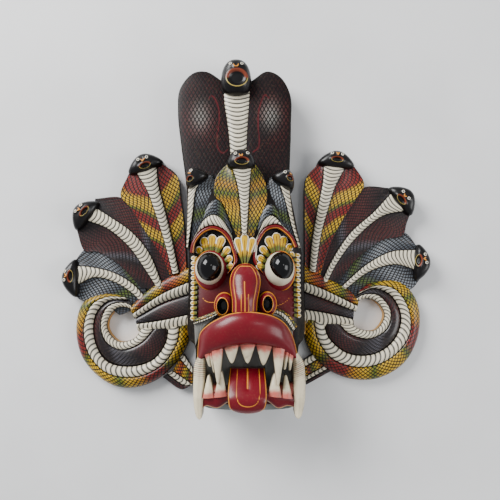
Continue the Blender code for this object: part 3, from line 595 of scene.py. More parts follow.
# Wings: outlines from the head of each snake to its neck, as the carving has them
wings = {
    "left": {
        "upper": {
            "outer": [(-137.5, 74), (-147, 46.5), (-136.5, 33.5), (-117, 3.5), (-98, -25.5), (-88.5, -46)],
            "bellyOuter": [(-129, 73.5), (-116.5, 53.5), (-105.5, 24.5), (-95, -7.5), (-85, -45)],
            "bellyInner": [(-104.5, 84), (-102, 59), (-94.5, 31), (-85.5, -4.5), (-77, -43)],
            "inner": [(-102, 86), (-81.5, 71), (-77, 46.5), (-72.5, 14), (-69, -37.5), (-69, -45)],
            "head": (-119.1, 84.7), "radii": (18.5, 11), "turn": 18,
            "eyes": [(-125.1, 86.6), (-115.2, 89.5)], "nose": [(-121.3, 86.5), (-119.8, 84.8), (-117.8, 87.5)],
            "mouth": (-117.1, 80.1),
        },
        "middle": {
            "outer": [(-198, 8), (-187.5, -18), (-173.5, -19), (-148.5, -33), (-122, -60)],
            "bellyOuter": [(-185, 17), (-161, 7.5), (-135.5, -14), (-119, -36.5), (-101, -64)],
            "bellyInner": [(-177.5, 34), (-157.5, 21.5), (-132.5, 4), (-112, -20.5), (-95, -60)],
            "inner": [(-177, 43.5), (-147.5, 45), (-131, 33), (-111, 1), (-92, -28), (-84, -50)],
            "head": (-189.6, 26.2), "radii": (18, 11.6), "turn": 52,
            "eyes": [(-190.3, 34.2), (-196.3, 26.9)], "nose": [(-192.8, 30.4), (-191.0, 28.8), (-193.4, 27.6)],
            "mouth": (-186.0, 26.9),
        },
        "lower": {
            "outer": [(-199.5, -68), (-189.5, -75.5), (-176.5, -77), (-160, -82), (-146, -92)],
            "bellyOuter": [(-196, -58.5), (-175.5, -49), (-152.5, -54), (-131.5, -67), (-119, -80)],
            "bellyInner": [(-196.5, -35), (-181.5, -36), (-155, -42), (-131.5, -55), (-113, -74)],
            "inner": [(-200.5, -31), (-186, -14), (-173, -13), (-144, -27), (-118, -58)],
            "head": (-202.4, -49.6), "radii": (19, 10.2), "turn": 92,
            "eyes": [(-207.2, -41.7), (-207.4, -51.6)], "nose": [(-206.4, -45.0), (-204.6, -46.6), (-206.4, -48.2)],
            "mouth": (-200.5, -47.4),
        },
        "rim": [(-64, -102), (-67, -124), (-82, -147.5), (-105.5, -167), (-136, -174.5), (-161, -167),
                (-188, -140), (-196, -104), (-188.5, -77), (-164.5, -67.5), (-150, -68)],
        "seam": [(-76, -104), (-79, -123.5), (-96, -148), (-124, -161), (-156.5, -157.5),
                 (-178.5, -136.5), (-185.5, -106), (-177, -80), (-160, -71), (-140, -71)],
        "middleSeam": [(-89.5, -106.5), (-92.5, -123.5), (-106.5, -142), (-133, -149.5), (-159.5, -143),
                       (-173.5, -118), (-172.5, -91), (-159, -76), (-136, -74)],
        "innerSeam": [(-105.5, -107.5), (-120.5, -123.5), (-142, -131), (-159.5, -122.5), (-166.5, -101.5),
                      (-158.5, -81.5), (-139, -77.5), (-128, -84)],
        "hole": [(-120.5, -106), (-128, -117.5), (-146, -121.5), (-158.5, -108.5), (-159, -98),
                 (-149, -84), (-137.5, -83), (-126, -89)],
        "upperNeck": [[(-66.7, -37), (-94, -50.5), (-115.5, -65), (-133, -82)],
                      [(-66.7, -54), (-97, -67.5), (-130, -90)],
                      [(-66.7, -68), (-98.5, -79), (-128, -96)]],
        "lowerNeck": [[(-66.7, -67), (-98.5, -78), (-126, -94)],
                      [(-66.7, -91), (-98, -97.5), (-126, -101.5)],
                      [(-66.7, -107.5), (-98.5, -110), (-124, -110)]],
        "tail": [[(-72, -136), (-62, -151)], [(-77, -141), (-62, -158)], [(-84, -155), (-61.5, -170)],
                 [(-96, -162), (-74.5, -176), (-65, -173)]],
    },
    "right": {
        "upper": {
            "outer": [(125, 83.5), (137.5, 60), (127.5, 42.5), (109.5, 14), (95.5, -14), (85, -47)],
            "bellyOuter": [(116.5, 81), (103.5, 57), (95, 31), (87, 3), (79.5, -43)],
            "bellyInner": [(89.5, 85), (88.5, 63.5), (81, 26.5), (74.5, -10), (71.5, -41)],
            "inner": [(87.5, 88), (70, 68.5), (68, 60), (67, 21.5), (67, -7.5), (67, -42)],
            "head": (105, 88.4), "radii": (18.8, 11), "turn": -6,
            "eyes": [(99.1, 94.8), (110.9, 93.1)], "nose": [(104.2, 95.2), (105.4, 92.4), (106.8, 94.8)],
            "mouth": (104.5, 86.9),
        },
        "middle": {
            "outer": [(195, 35), (186.5, 14.5), (181.5, 0), (159, -5), (128.5, -26.5), (103, -58)],
            "bellyOuter": [(187, 28.5), (158.5, 22.5), (126.5, -3.5), (103.5, -34), (91, -58)],
            "bellyInner": [(168, 49.5), (147, 27), (120, 3), (98.5, -28), (86, -53)],
            "inner": [(169, 56), (138, 57), (121, 41), (104, 14), (91, -14), (80, -47)],
            "head": (183.6, 43.4), "radii": (17.8, 11.8), "turn": -52,
            "eyes": [(180.2, 49.8), (186.3, 41.7)], "nose": [(181.4, 46.4), (180.8, 44.2), (183.2, 43.8)],
            "mouth": (178.1, 40.6),
        },
        "lower": {
            "outer": [(202, -48.5), (190, -62), (164.5, -66), (142, -74)],
            "bellyOuter": [(199.5, -42.5), (172.5, -34), (143, -41.5), (117, -60), (110, -66)],
            "bellyInner": [(195.5, -16.5), (167.5, -18.5), (139, -33), (110.5, -57.5), (104, -64)],
            "inner": [(199, -13.5), (184, 4), (158, 0), (125, -21), (102, -55)],
            "head": (202.3, -31.9), "radii": (18.6, 9.9), "turn": -96,
            "eyes": [(204.0, -22.5), (205.3, -32.0)], "nose": [(203.8, -26.2), (202.0, -27.6), (204.2, -29.2)],
            "mouth": (196.9, -29.4),
        },
        "rim": [(67, -96.5), (68.5, -124), (86, -148.5), (116, -163.5), (150, -163.5), (182, -144.5),
                (198.5, -110), (197, -76), (178, -53.5), (142.5, -55), (132, -62)],
        "seam": [(76.5, -97.5), (81, -119), (98, -141.5), (130.5, -150.5), (163, -140.5), (185, -115),
                 (186, -87), (171.5, -63), (151, -58), (130, -65)],
        "middleSeam": [(88.5, -102), (94.5, -118), (116, -135), (145.5, -135.5), (168.5, -119.5),
                       (177, -93.5), (166.5, -70), (145, -61), (127, -68)],
        "innerSeam": [(105.5, -101.5), (116, -112), (139, -118.5), (160, -107.5), (165, -87),
                      (152, -69.5), (134.5, -68), (122, -75)],
        "hole": [(121, -102), (130, -107.5), (147.5, -108.5), (158, -93.5), (155.5, -83.5),
                 (147, -75), (136, -73), (124, -79)],
        "upperNeck": [[(66.7, -34), (89, -47.5), (117.5, -62.5), (128, -74)],
                      [(66.7, -53.5), (88, -62), (127, -81)],
                      [(66.7, -65.5), (88.5, -73.5), (125, -88)]],
        "lowerNeck": [[(66.7, -64.5), (88.5, -72.5), (123, -86)],
                      [(66.7, -85), (91.5, -89), (122, -96)],
                      [(66.7, -102), (88.5, -106), (123, -104)]],
        "tail": [[(86, -130), (65, -143)], [(91, -137), (66, -151)], [(99, -144), (67.5, -161)],
                 [(107, -150), (68, -171)]],
    },
}


# What the snake heads share unless a drawing says otherwise; each bump is its height and its reach
headForm = {
    "rise": 11.0, "taper": 0.5, "boxy": 0.82, "flat": 3.2, "eyeBump": (1.1, 2.2), "noseBump": (0.9, 1.6),
    "lipBump": (0.8, 0.25), "lipAt": 1.05, "mouthSize": (6.6, 3.1), "mouthDepth": 2.4, "mouthWall": (0.5, 0.95),
}


def snakeHead(name, place, drawing):
    # a boxy dome with eye bumps and a sunken mouth inside raised lips, all as bell curves round their places
    spec = headForm | drawing
    form = dome((*spec["head"], spec["height"]), (*spec["radii"], spec["rise"]), spec["base"], boxy=spec["boxy"],
                turn=spec["turn"], stations=34, around=96, flat=spec["flat"], taper=spec["taper"])
    points = form["rings"]
    eye = np.minimum(*[np.linalg.norm(points[..., :2] - np.array(centre), axis=-1) for centre in spec["eyes"]])
    swing = math.radians(spec["turn"])
    wide, tall = spec["mouthSize"]
    offset = points[..., :2] - np.array(spec["mouth"])
    across = offset[..., 0] * math.cos(swing) + offset[..., 1] * math.sin(swing)
    down = -offset[..., 0] * math.sin(swing) + offset[..., 1] * math.cos(swing)
    mouth = np.sqrt((across / wide) ** 2 + (down / tall) ** 2)
    nose = distanceTo(points, spec["nose"])
    surface = points[:-1, :, 2]
    for distance, bump in ((eye, "eyeBump"), (nose, "noseBump"), (mouth - spec["lipAt"], "lipBump")):
        height, reach = spec[bump]
        surface += height * bell(distance[:-1], reach)
    surface -= spec["mouthDepth"] * (1 - smoothStep(mouth[:-1], *spec["mouthWall"]))
    upper = smoothStep(down, -0.6, 0.6)
    form["marks"].update({"eye": eye, "mouth": mouth, "nose": nose, "upper": upper})
    addPiece(name, form, "head", place)


# Heights and forms in both wings: each cobra is a step lower than the one above it
wingForms = {
    "hoodHeight": 15.0, "hoodStep": 2.0, "hoodSag": 1.2, "hoodFillet": 0.9, "hoodBase": 0.1, "headBase": 1.0,
    "bellyLift": 2.0, "bellyRise": 4.0, "bellyPitch": {"left": scutePitch, "right": 4.4},
    "neckHeights": (10.0, 12.0, 9.0), "upperNeckLift": 2.0, "neckRise": 4.0,
    "tailHeight": 7.5, "tailRise": 1.6, "tailBase": 0.6, "tailBaseStep": 0.05, "tailSplit": 0.45,
    # the two lines of a strip, their heights, its rise, finish, stations, base, plate depth and plate pitch
    "strips": {
        "outer_coil_back": ("rim", "seam", (7, 13), 5.0, "coilBack", 300, 0.25, 0.0, 6.1),
        "outer_coil_belly": ("seam", "middleSeam", (13, 10), 5.0, "belly", 460, 0.3, 0.45, 6.1),
        "inner_coil_back": ("middleSeam", "innerSeam", (10, 12), 4.0, "coilDark", 220, 0.35, 0.0, 4.5),
        "inner_coil_belly": ("innerSeam", "hole", (12, 10), 4.0, "holeBelly", 260, 0.4, 0.4, 4.5),
    },
}


def wingCobra(side, level, number, drawing):
    # two hood flanks that sag between edge and belly, the belly between them and the head on top
    edge = wingForms["hoodHeight"] - wingForms["hoodStep"] * number
    crest = (edge + wingForms["bellyLift"], edge)
    base = wingForms["hoodBase"] * (number + 1)
    for flank, first, second, heights in (
        ("outer", "outer", "bellyOuter", ((edge,), crest)),
        ("inner", "bellyInner", "inner", (crest, (edge,))),
    ):
        form = drawnRidge(raised(drawing[first], *heights[0]), raised(drawing[second], *heights[1]),
                          -wingForms["hoodSag"], base, stations=90, columns=16, fillet=wingForms["hoodFillet"])
        reach = np.clip(form["marks"]["share"][..., 1], 0, 1)
        form["marks"]["lean"] = reach if flank == "outer" else 1 - reach
        addPiece(f"{side}_{level}_hood_{flank}", form, f"{level}Hood", side)
    belly = drawnRidge(raised(drawing["bellyOuter"], *crest), raised(drawing["bellyInner"], *crest),
                       wingForms["bellyRise"], 0.5, stations=170, columns=14, power=0.8, scutes=0.45, bow=3.8,
                       pitch=wingForms["bellyPitch"][side])
    addPiece(f"{side}_{level}_belly", belly, "belly", side)
    snakeHead(f"{side}_{level}_head", side, dict(drawing, height=edge, base=wingForms["headBase"]))


def wing(side, drawing):
    # three cobras, the coil in four strips, two necks of a back and a belly each, and the tail in four strips
    for number, level in enumerate(("upper", "middle", "lower")):
        wingCobra(side, level, number, drawing[level])
    for name, strip in wingForms["strips"].items():
        first, second, heights, rise, paint, stations, base, scutes, pitch = strip
        form = drawnRidge(raised(drawing[first], heights[0]), raised(drawing[second], heights[1]), rise, base,
                          stations=stations, columns=14, scutes=scutes, power=0.9, pitch=pitch)
        addPiece(f"{side}_{name}", form, paint, side)
    for level, lift, paint in (("upper", wingForms["upperNeckLift"], "neckBack"), ("lower", 0.0, "coilDark")):
        heights = [height + lift for height in wingForms["neckHeights"]]
        edges = [raised(edge, height) for edge, height in zip(drawing[level + "Neck"], heights)]
        back = drawnRidge(edges[0], edges[1], wingForms["neckRise"], 0.45, stations=70)
        belly = drawnRidge(edges[1], edges[2], wingForms["neckRise"], 0.55, stations=110, scutes=0.4, power=0.8)
        addPiece(f"{side}_{level}_neck_back", back, paint, side)
        addPiece(f"{side}_{level}_neck_belly", belly, "belly", side)
    rails = [curveThrough(raised(edge, wingForms["tailHeight"]), 40) for edge in drawing["tail"]]
    rails.insert(3, rails[2] * wingForms["tailSplit"] + rails[3] * (1 - wingForms["tailSplit"]))
    for number, paint in enumerate(("belly", "neckBack", "belly", "coilDark")):
        form = ridge(rails[number], rails[number + 1], wingForms["tailRise"],
                     wingForms["tailBase"] + wingForms["tailBaseStep"] * number, columns=10,
                     scutes=0.0 if paint == "neckBack" else 0.3)
        addPiece(f"{side}_tail_{number + 1}", form, paint, side)


for side, drawing in wings.items():
    wing(side, drawing)
    print(side, "wing carved")

# Crown: the tall cobra, a lobe each side of its belly ridge
crown = {
    "leftOuter": [(-27, 177), (-46, 190), (-62, 188), (-77, 168.5), (-79, 141.5), (-74.5, 100), (-68, 55), (-66, 34)],
    "leftInner": [(-16, 172), (-15, 140), (-12, 100), (-11, 56), (-10, 34)],
    "rightInner": [(-6, 172), (-7, 140), (-7, 100), (-7, 56), (-7, 34)],
    "rightOuter": [(5, 177), (23.5, 190.5), (39, 183.5), (50.5, 161.5), (51, 123.5), (48.5, 56), (49, 34)],
    "bellyLeft": [(-29.2, 168), (-25.8, 149), (-20.4, 111.5), (-17, 58), (-16, 35)],
    "bellyRight": [(7, 168), (3.8, 149), (1.2, 111.5), (0, 58), (0, 35)],
    "leftCurl": [(-44.4, 153.6), (-39.8, 158.4), (-35.1, 152.5), (-31.6, 141.8), (-31.5, 122.9), (-33.7, 104.2),
                 (-31.4, 94.8), (-26.8, 90.2), (-21.1, 94.3)],
    "rightCurl": [(25.9, 155.3), (21.3, 159.6), (17.8, 153.6), (14.3, 141.8), (13.2, 125.3), (14.3, 104.2),
                  (13.1, 96.0), (7.4, 91.4)],
    # where each lobe's painted highlight stands, and its size
    "leftHighlight": (-52.4, 133.4), "rightHighlight": (27.0, 135.6), "highlightSize": (9.5, 15.0),
}


def crownLobe(name, left, right, heights, curl, patch, outerEdge):
    # a ridge between its two edges, marked by its distance to the curl and to the outer edge, and with
    # exp(-r ** 2) round its pale grey painted highlight
    form = drawnRidge(raised(left, *heights[0]), raised(right, *heights[1]), 3.5, 0.2, stations=150, columns=56,
                      fillet=2.0)
    points = form["rings"]
    spread = (points[..., :2] - np.array(patch)) / np.array(crown["highlightSize"])
    form["marks"].update({
        "curl": distanceTo(points, curveThrough(curl, 60)),
        "patch": np.exp(-(spread**2).sum(-1)),
        "edge": distanceTo(points, curveThrough(outerEdge, 90)),
    })
    addPiece(name, form, "crown")


crownLobe("crown_left_lobe", crown["leftOuter"], crown["leftInner"], ((27, 38), (31, 43)), crown["leftCurl"],
          crown["leftHighlight"], crown["leftOuter"])
crownLobe("crown_right_lobe", crown["rightInner"], crown["rightOuter"], ((31, 43), (27, 38)), crown["rightCurl"],
          crown["rightHighlight"], crown["rightOuter"])
addPiece("crown_belly", drawnRidge(raised(crown["bellyLeft"], 31, 42), raised(crown["bellyRight"], 31, 42), 5.5, 0.3,
                                   stations=190, columns=20, scutes=0.5, power=0.8, bow=5.2, pitch=5.1),
         "belly")
snakeHead("crown_head", "face", {
    "head": (-11.8, 178), "radii": (17, 21.2), "turn": 0, "height": 39, "rise": 12, "base": 0.5, "taper": 0.12,
    "eyes": [(-18.2, 190.8), (-5.1, 190.8)], "nose": [(-14.6, 189.4), (-13.6, 187), (-10, 187), (-9, 189.4)],
    "mouth": (-10.7, 174.0), "mouthSize": (11.6, 9.6),
})
print("crown carved")

# Forehead: the cobra in the middle, two leaning snakes, and the folds over the eyes
forehead = {
    "hoodLeft": [(-16, 78), (-33, 58), (-34.5, 37.5), (-26, 29), (-16.5, 7), (-10, -8)],
    "bellyLeft": [(-16, 68), (-11.5, 54), (-8, 36.5), (-5.5, 2.5), (-5, -6)],
    "bellyRight": [(6, 68), (4.5, 54), (3.5, 36.5), (1.5, 2.5), (1, -6)],
    "hoodRight": [(6.5, 78), (20, 55.5), (22.5, 33), (14.5, 11.5), (8, -8)],
    "leftBelly": [[(-64, 52), (-64.3, 21), (-65, -18)], [(-42, 60.5), (-53.5, 47), (-57.5, 20.5), (-62, -18)]],
    "leftHood": [[(-42, 60.5), (-53.5, 47), (-57.5, 20.5), (-61, -12)],
                 [(-36, 62), (-30, 46), (-28, 36), (-20, 24), (-14, 6)]],
    "rightBelly": [[(34, 56), (41.5, 33.5), (48, 7.5), (55.5, -18)], [(47, 50), (49.8, 25.5), (54, 2), (59, -18)]],
    "rightHood": [[(26, 60), (20, 46), (17, 36), (11, 22), (9, 6)],
                  [(34, 56), (41.5, 33.5), (48, 7.5), (54, -12)]],
}
for name, first, second, heights in (
    ("left", "hoodLeft", "bellyLeft", ((60, 63), (66, 64))),
    ("right", "bellyRight", "hoodRight", ((66, 64), (60, 63))),
):
    form = drawnRidge(raised(forehead[first], *heights[0]), raised(forehead[second], *heights[1]), -1.0, 34.0,
                      stations=90, columns=20, fillet=1.0)
    addPiece(f"centre_hood_{name}", form, "centreHood")
belly = drawnRidge(raised(forehead["bellyLeft"], 66, 64), raised(forehead["bellyRight"], 66, 64), 4.5, 34.5,
                   stations=140, scutes=0.4, power=0.8, bow=3.6, pitch=4.1)
addPiece("centre_belly", belly, "belly")
snakeHead("centre_head", "face", {
    "head": (-5.5, 75.4), "radii": (14.6, 11.8), "turn": 0, "height": 64, "rise": 13, "base": 36,
    "eyes": [(-11.5, 80.2), (1.7, 80.9)], "nose": [(-7.2, 78.7), (-6.6, 77.6), (-4.4, 77.6), (-4.0, 78.7)],
    "mouth": (-4.7, 72.1), "mouthSize": (7.2, 3.8), "taper": 0.24,
})
for side, turn, head, eyes, nose, mouth in (
    ("left", 28, (-55.4, 59), [(-59.4, 64.0), (-59.4, 64.0)], [(-62.0, 61.0), (-60.0, 60.6)], (-60.3, 54.7)),
    ("right", -30, (42, 57), [(41.6, 62.0), (41.6, 62.0)], [(47.0, 60.6), (48.6, 59.6)], (46.9, 55.2)),
):
    edges = forehead[side + "Belly"]
    heights = ((50, 52), (58, 56)) if side == "left" else ((58, 56), (50, 52))
    form = drawnRidge(raised(edges[0], *heights[0]), raised(edges[1], *heights[1]), 5.0, 33.0, stations=110,
                      scutes=0.4, power=0.8, bow=2.2, pitch=5.0)
    addPiece(f"{side}_forehead_belly", form, "belly")
    hood = forehead[side + "Hood"]
    heights = ((58, 56), (54, 55)) if side == "left" else ((54, 55), (58, 56))
    form = drawnRidge(raised(hood[0], *heights[0]), raised(hood[1], *heights[1]), 1.0, 32.0, stations=80, fillet=0.8)
    addPiece(f"{side}_forehead_hood", form, "sideHood")
    snakeHead(f"{side}_forehead_head", "face", {
        "head": head, "radii": (11.6, 9.8), "turn": turn, "height": 57, "rise": 12, "base": 34,
        "eyes": eyes, "nose": nose, "mouth": mouth, "mouthSize": (3.6, 2.8),
    })

brows = {
    "left": {
        "hillTop": [(-52, 3), (-46.4, 12.7), (-42.5, 24.8), (-36.8, 31.7), (-30.1, 33.2), (-24, 24.8), (-19.5, 14.2),
                    (-14.5, 0)],
        "domeTop": [(-50.7, 1), (-44.8, 11.8), (-36.6, 16.7), (-29.9, 14.8), (-23.9, 8.8), (-15.5, -5)],
        "archOuter": [(-60.5, -24), (-58.2, -12.5), (-49.4, -0.6), (-36.8, 4.8), (-24.4, 0.8), (-15.8, -8.4),
                      (-10.8, -20.8), (-8.6, -33), (-12, -39.5), (-18.6, -45.5)],
        "archInner": [(-55.5, -24.5), (-53.6, -14), (-46.2, -4.6), (-36.4, -0.2), (-27.2, -3.2), (-20, -11.4),
                      (-15.4, -22.6), (-13.4, -33.5), (-16.5, -41), (-21.5, -49)],
    },
    "right": {
        "hillTop": [(11.5, 3), (15.8, 17.3), (21.8, 27.1), (27.8, 27.9), (33.1, 21.8), (36.8, 12.7), (44, 2)],
        "domeTop": [(13, -3), (15.7, 3.5), (20.2, 11.8), (27, 15.9), (33, 12.6), (38.2, 5), (42, -1)],
        "archOuter": [(16.6, -45), (10, -39), (6.4, -31), (7.8, -16.6), (12.3, -6.2), (20, 3.1), (32.4, 6.1),
                      (42.6, 0.9), (50.2, -7.4), (55, -18)],
        "archInner": [(19.6, -48.5), (14.6, -40.5), (11.2, -31), (12.4, -18), (16.3, -9.2), (22.2, -1.4),
                      (32.2, 1.1), (40, -3.3), (46.4, -10), (50.4, -18.8)],
    },
}
for side, drawing in brows.items():
    hill = drawnRidge(raised(drawing["hillTop"], 58, 63, 58), raised(drawing["domeTop"], 60, 61, 60), 3.5, 31.0,
                      stations=70, columns=16)
    addPiece(f"{side}_brow_hill", hill, "sideHood")
    rib = drawnRidge(raised(drawing["domeTop"], 60, 62, 60), raised(drawing["archOuter"][1:-1], 61, 63, 61), 4.0,
                     31.5, stations=90, columns=16, scutes=0.5, pitch=4.2, bow=-1.0)
    addPiece(f"{side}_brow_dome", rib, "belly")
    arch = drawnRidge(raised(drawing["archOuter"], 61, 62, 63), raised(drawing["archInner"], 61, 62, 63), 3.2, 32.5,
                      stations=110, columns=14)
    goldAlong(arch, 2, 1.3)
    addPiece(f"{side}_brow_arch", arch, "redArch")
print("forehead carved")

# The block behind the face: a front that swells to the middle, sunk at the mouth, and a hollow behind
block = {
    "rails": [
        [(-66, 46, 44), (-65, 20, 45), (-62.5, -40, 45), (-62.5, -116, 41), (-56, -124, 41), (-55, -160, 43),
         (-50, -187, 38)],
        [(-50, 46, 54), (-48, 20, 56), (-48, -40, 54), (-48, -95, 60), (-46, -124, 52), (-44, -160, 54),
         (-36, -190, 46)],
        [(-4, 46, 58), (-2, 20, 60), (0, -40, 62), (0, -95, 64), (1, -124, 62), (2, -160, 58), (2, -191, 50)],
        [(34, 46, 54), (40, 20, 56), (46, -40, 54), (48, -95, 60), (46, -124, 52), (46, -160, 54),
         (42, -190, 46)],
        [(48, 46, 44), (53, 20, 45), (61.5, -30, 45), (62.5, -60, 45), (62.5, -116, 41), (57, -124, 41),
         (57.5, -160, 43), (54, -187, 38)],
    ],
    "mouthTop": [(-44, -134), (-30, -122), (0, -116), (30, -119), (49, -134)],
    "mouthBottom": [(-45, -168), (-20, -170), (0, -170), (22, -170), (50, -169)],
    "mouthSides": (-45.5, 49.5), "mouthFloor": 44.0, "mouthSlope": 2.5,
    "hollowMiddle": -62.0, "hollowRadii": (51.5, 114.0, 35.0), "hollowBoxy": 0.7, "hollowWall": 6.0,
    "stations": 240, "columns": 110, "backColumns": 61,
    # the grey in the mouth is painted light and the grey on the chin is painted shadow; these limits bound them
    "blackSides": (50.0, 51.0), "blackAbove": (-45.0, -43.0), "mouthPaintedLight": (0.4, 1.6), "chinPaintedShadow": (184.0, 185.0),
    "leftCheek": [(-47.5, -70.5), (-44.5, -74.5), (-40.4, -76.6), (-33.7, -77.0)],
    "rightCheek": [(46.5, -71.5), (43, -75.5), (38.9, -78.4), (32.9, -80.4)],
}


def faceBlock():
    # a smooth blend of five rails in front; behind, depth = radius_z * (1 - |x|^p - |y|^p) ^ (boxy / 2)
    rails = np.array([curveThrough(rail, block["stations"]) for rail in block["rails"]])
    weights = curveThrough(np.eye(len(rails)), block["columns"])
    front = np.einsum("cr,rsk->sck", weights, rails)
    x, y = front[..., 0], front[..., 1]
    top = np.interp(x, *np.array(block["mouthTop"]).T)
    bottom = np.interp(x, *np.array(block["mouthBottom"]).T)
    inside = np.minimum.reduce([top - y, y - bottom, x - block["mouthSides"][0], block["mouthSides"][1] - x])
    sunk = smoothStep(inside, 0.0, block["mouthSlope"])
    front[..., 2] += sunk * (block["mouthFloor"] - front[..., 2])
    feet = [front[:, :1].copy(), front[:, -1:].copy()]
    for foot in feet:
        foot[..., 2] = 0.0
    power = 2 / block["hollowBoxy"]
    radii = block["hollowRadii"]
    swing = np.linspace(math.pi / 2, -math.pi / 2, block["backColumns"])
    backX = np.sin(swing)[None, :] * np.minimum(radii[0], np.abs(front[:, -1:, 0]) - block["hollowWall"])
    middle = block["columns"] // 2
    backY = front[:, middle:middle + 1, 1] + 0 * backX
    away = np.abs(backX / radii[0]) ** power + np.abs((backY - block["hollowMiddle"]) / radii[1]) ** power
    backZ = radii[2] * np.clip(1 - away, 0, 1) ** (block["hollowBoxy"] / 2)
    back = np.stack([backX, backY, backZ], axis=-1)
    rings = np.concatenate([feet[0], front, feet[1], back], axis=1)
    isFront = np.zeros(rings.shape[:2])
    isFront[:, 1:front.shape[1] + 1] = 1.0
    isBack = np.zeros(rings.shape[:2])
    isBack[1:-1, front.shape[1] + 2:] = 1.0
    black = np.maximum.reduce([
        smoothStep(np.abs(rings[..., 0]), *block["blackSides"]), smoothStep(rings[..., 1], *block["blackAbove"]),
        1 - isFront,
    ])
    # grey zone: in the mouth a grey lighter than its dark paint, as painted light; on the chin a grey that stands for
    # shadow, as painted shadow
    dark = np.zeros(rings.shape[:2])
    dark[:, 1:front.shape[1] + 1] = np.maximum(smoothStep(inside, *block["mouthPaintedLight"]),
                                               smoothStep(-y, *block["chinPaintedShadow"]))
    lines = [curveThrough(block["leftCheek"], 30), curveThrough(block["rightCheek"], 30)]
    gold = np.minimum(*[distanceTo(rings, line) for line in lines])
    form = {"rings": rings, "marks": {"gold": gold, "zone": np.stack([black, dark, isBack], axis=-1)}}
    addPiece("face_block", form, "block", smooth=50.0)
    return front


frontGrid = faceBlock().reshape(-1, 3)


def onFace(points, lift):
    # the drawn points set on the block's front, each at the height of the nearest point of its grid
    flat = np.array(points, dtype=float)[:, :2]
    nearest = np.linalg.norm(flat[:, None] - frontGrid[None, :, :2], axis=-1).argmin(1)
    return np.column_stack([flat, frontGrid[nearest, 2] + lift])


print("face block carved")

# Eyes: crimson lids with a gold line, cream balls and glossy pupils, in a ring of petals
eyes = {
    "left": {"lid": (-37.1, -42.7, 54), "lidRadii": (19.4, 23.2, 13.0), "ball": (-38.8, -41.2, 58),
             "ballRadii": (15.9, 18.1, 18.5), "pupil": (-38.8, -39.8, 69.6), "pupilRadii": (13.2, 15.2, 10.5)},
    "right": {"lid": (35.4, -43.4, 54), "lidRadii": (17.9, 23.2, 13.0), "ball": (35.6, -41.8, 58),
              "ballRadii": (16.0, 18.8, 18.5), "pupil": (36.9, -39.4, 69.6), "pupilRadii": (12.9, 15.3, 10.5)},
}
for side, drawing in eyes.items():
    lid = dome(drawing["lid"], drawing["lidRadii"], 40, stations=40, around=110, flat=2.2)
    goldRim(lid, drawing["lidRadii"][0])
    addPiece(f"{side}_eyelid", lid, "crimson")
    white = dome(drawing["ball"], drawing["ballRadii"], 45, stations=36, around=96)
    addPiece(f"{side}_eyeball", white, "eyeWhite")
    dark = dome(drawing["pupil"], drawing["pupilRadii"], 50, stations=36, around=96, power=0.85)
    addPiece(f"{side}_pupil", dark, "pupil")


def petal(name, foot, tip, width, lift=1.6, rise=1.6, foothold=0.5):
    # half width = width / 2 * (foothold + (1 - foothold) * t), closed by a round tip as long as it is wide
    foot, tip = np.array(foot, dtype=float), np.array(tip, dtype=float)
    t = np.sin(np.linspace(0.0, math.pi / 2, 30))
    close = min(0.45, width / 2 / np.linalg.norm(tip - foot))
    half = width / 2 * (foothold + (1 - foothold) * np.minimum(t / (1 - close), 1.0))
    half *= np.sqrt(1 - np.clip((t - 1 + close) / (close + 0.005), 0, 1) ** 2)
    line = foot + (tip - foot) * t[:, None]
    direction = (tip - foot) / np.linalg.norm(tip - foot)
    normal = np.array([-direction[1], direction[0]])
    left = onFace(line + normal * half[:, None], lift)
    right = onFace(line - normal * half[:, None], lift)
    form = ridge(left, right, rise, 40.0, columns=11)
    run = form["marks"]["run"]
    form["marks"]["rim"] = np.minimum(np.minimum(run[..., 1], run[..., 2]), run[..., 0].max() - run[..., 0])
    addPiece(name, form, "petal")


petals = {
    "left": {"centre": (-38.3, -41.5), "reach": (19.0, 20.5),
             "tips": [(-46.2, -7.0), (-36.4, -4.2), (-25.4, -6.6), (-53.2, -17.4), (-17.6, -18.4),
                      (-56.6, -29.2), (-14.6, -29.0), (-13.2, -38.6)]},
    "right": {"centre": (36.0, -41.5), "reach": (18.0, 21.0),
              "tips": [(23.0, -6.6), (32.0, -2.4), (40.6, -6.0), (15.2, -17.6), (48.2, -14.2),
                       (51.2, -23.4), (11.6, -28.6), (10.4, -38.0)]},
}
petalWidths = {"top": 11.0, "side": 9.0, "short": 7.4, "fanMiddle": 9.6, "fanSide": 8.8, "edge": 5.3}
for side, drawing in petals.items():
    centre = np.array(drawing["centre"])
    for number, tip in enumerate(drawing["tips"]):
        away = np.array(tip) - centre
        foot = centre + away / np.linalg.norm(away / np.array(drawing["reach"])) * 0.92
        length = np.linalg.norm(np.array(tip) - foot)
        kind = "top" if number < 3 else "side" if length > 6 else "short"
        petal(f"{side}_petal_{number + 1}", foot, tip, petalWidths[kind])
fan = [((-3.6, -37.0), (-9.8, -8.4), "fanSide", 3.8), ((-1.4, -37.0), (-1.7, -4.8), "fanMiddle", 4.6),
       ((0.8, -37.0), (7.2, -8.4), "fanSide", 3.8)]
for number, (foot, tip, kind, lift) in enumerate(fan):
    petal(f"fan_petal_{number + 1}", foot, tip, petalWidths[kind], lift=lift, foothold=0.2)
columnsOfPetals = {
    "gap": 5.4, "droop": 0.8,
    "left": {"foot": -52.4, "tip": -60.2, "start": -29.5, "end": -96.0},
    "right": {"foot": 50.8, "tip": 58.8, "start": -26.5, "end": -94.0},
}
for side in ("left", "right"):
    drawing = columnsOfPetals[side]
    for number, y in enumerate(np.arange(drawing["start"], drawing["end"], -columnsOfPetals["gap"])):
        petal(f"{side}_edge_petal_{number + 1}", (drawing["foot"], y + columnsOfPetals["droop"]), (drawing["tip"], y),
              petalWidths["edge"], lift=1.4, rise=1.2, foothold=0.7)
print("eyes and petals carved")

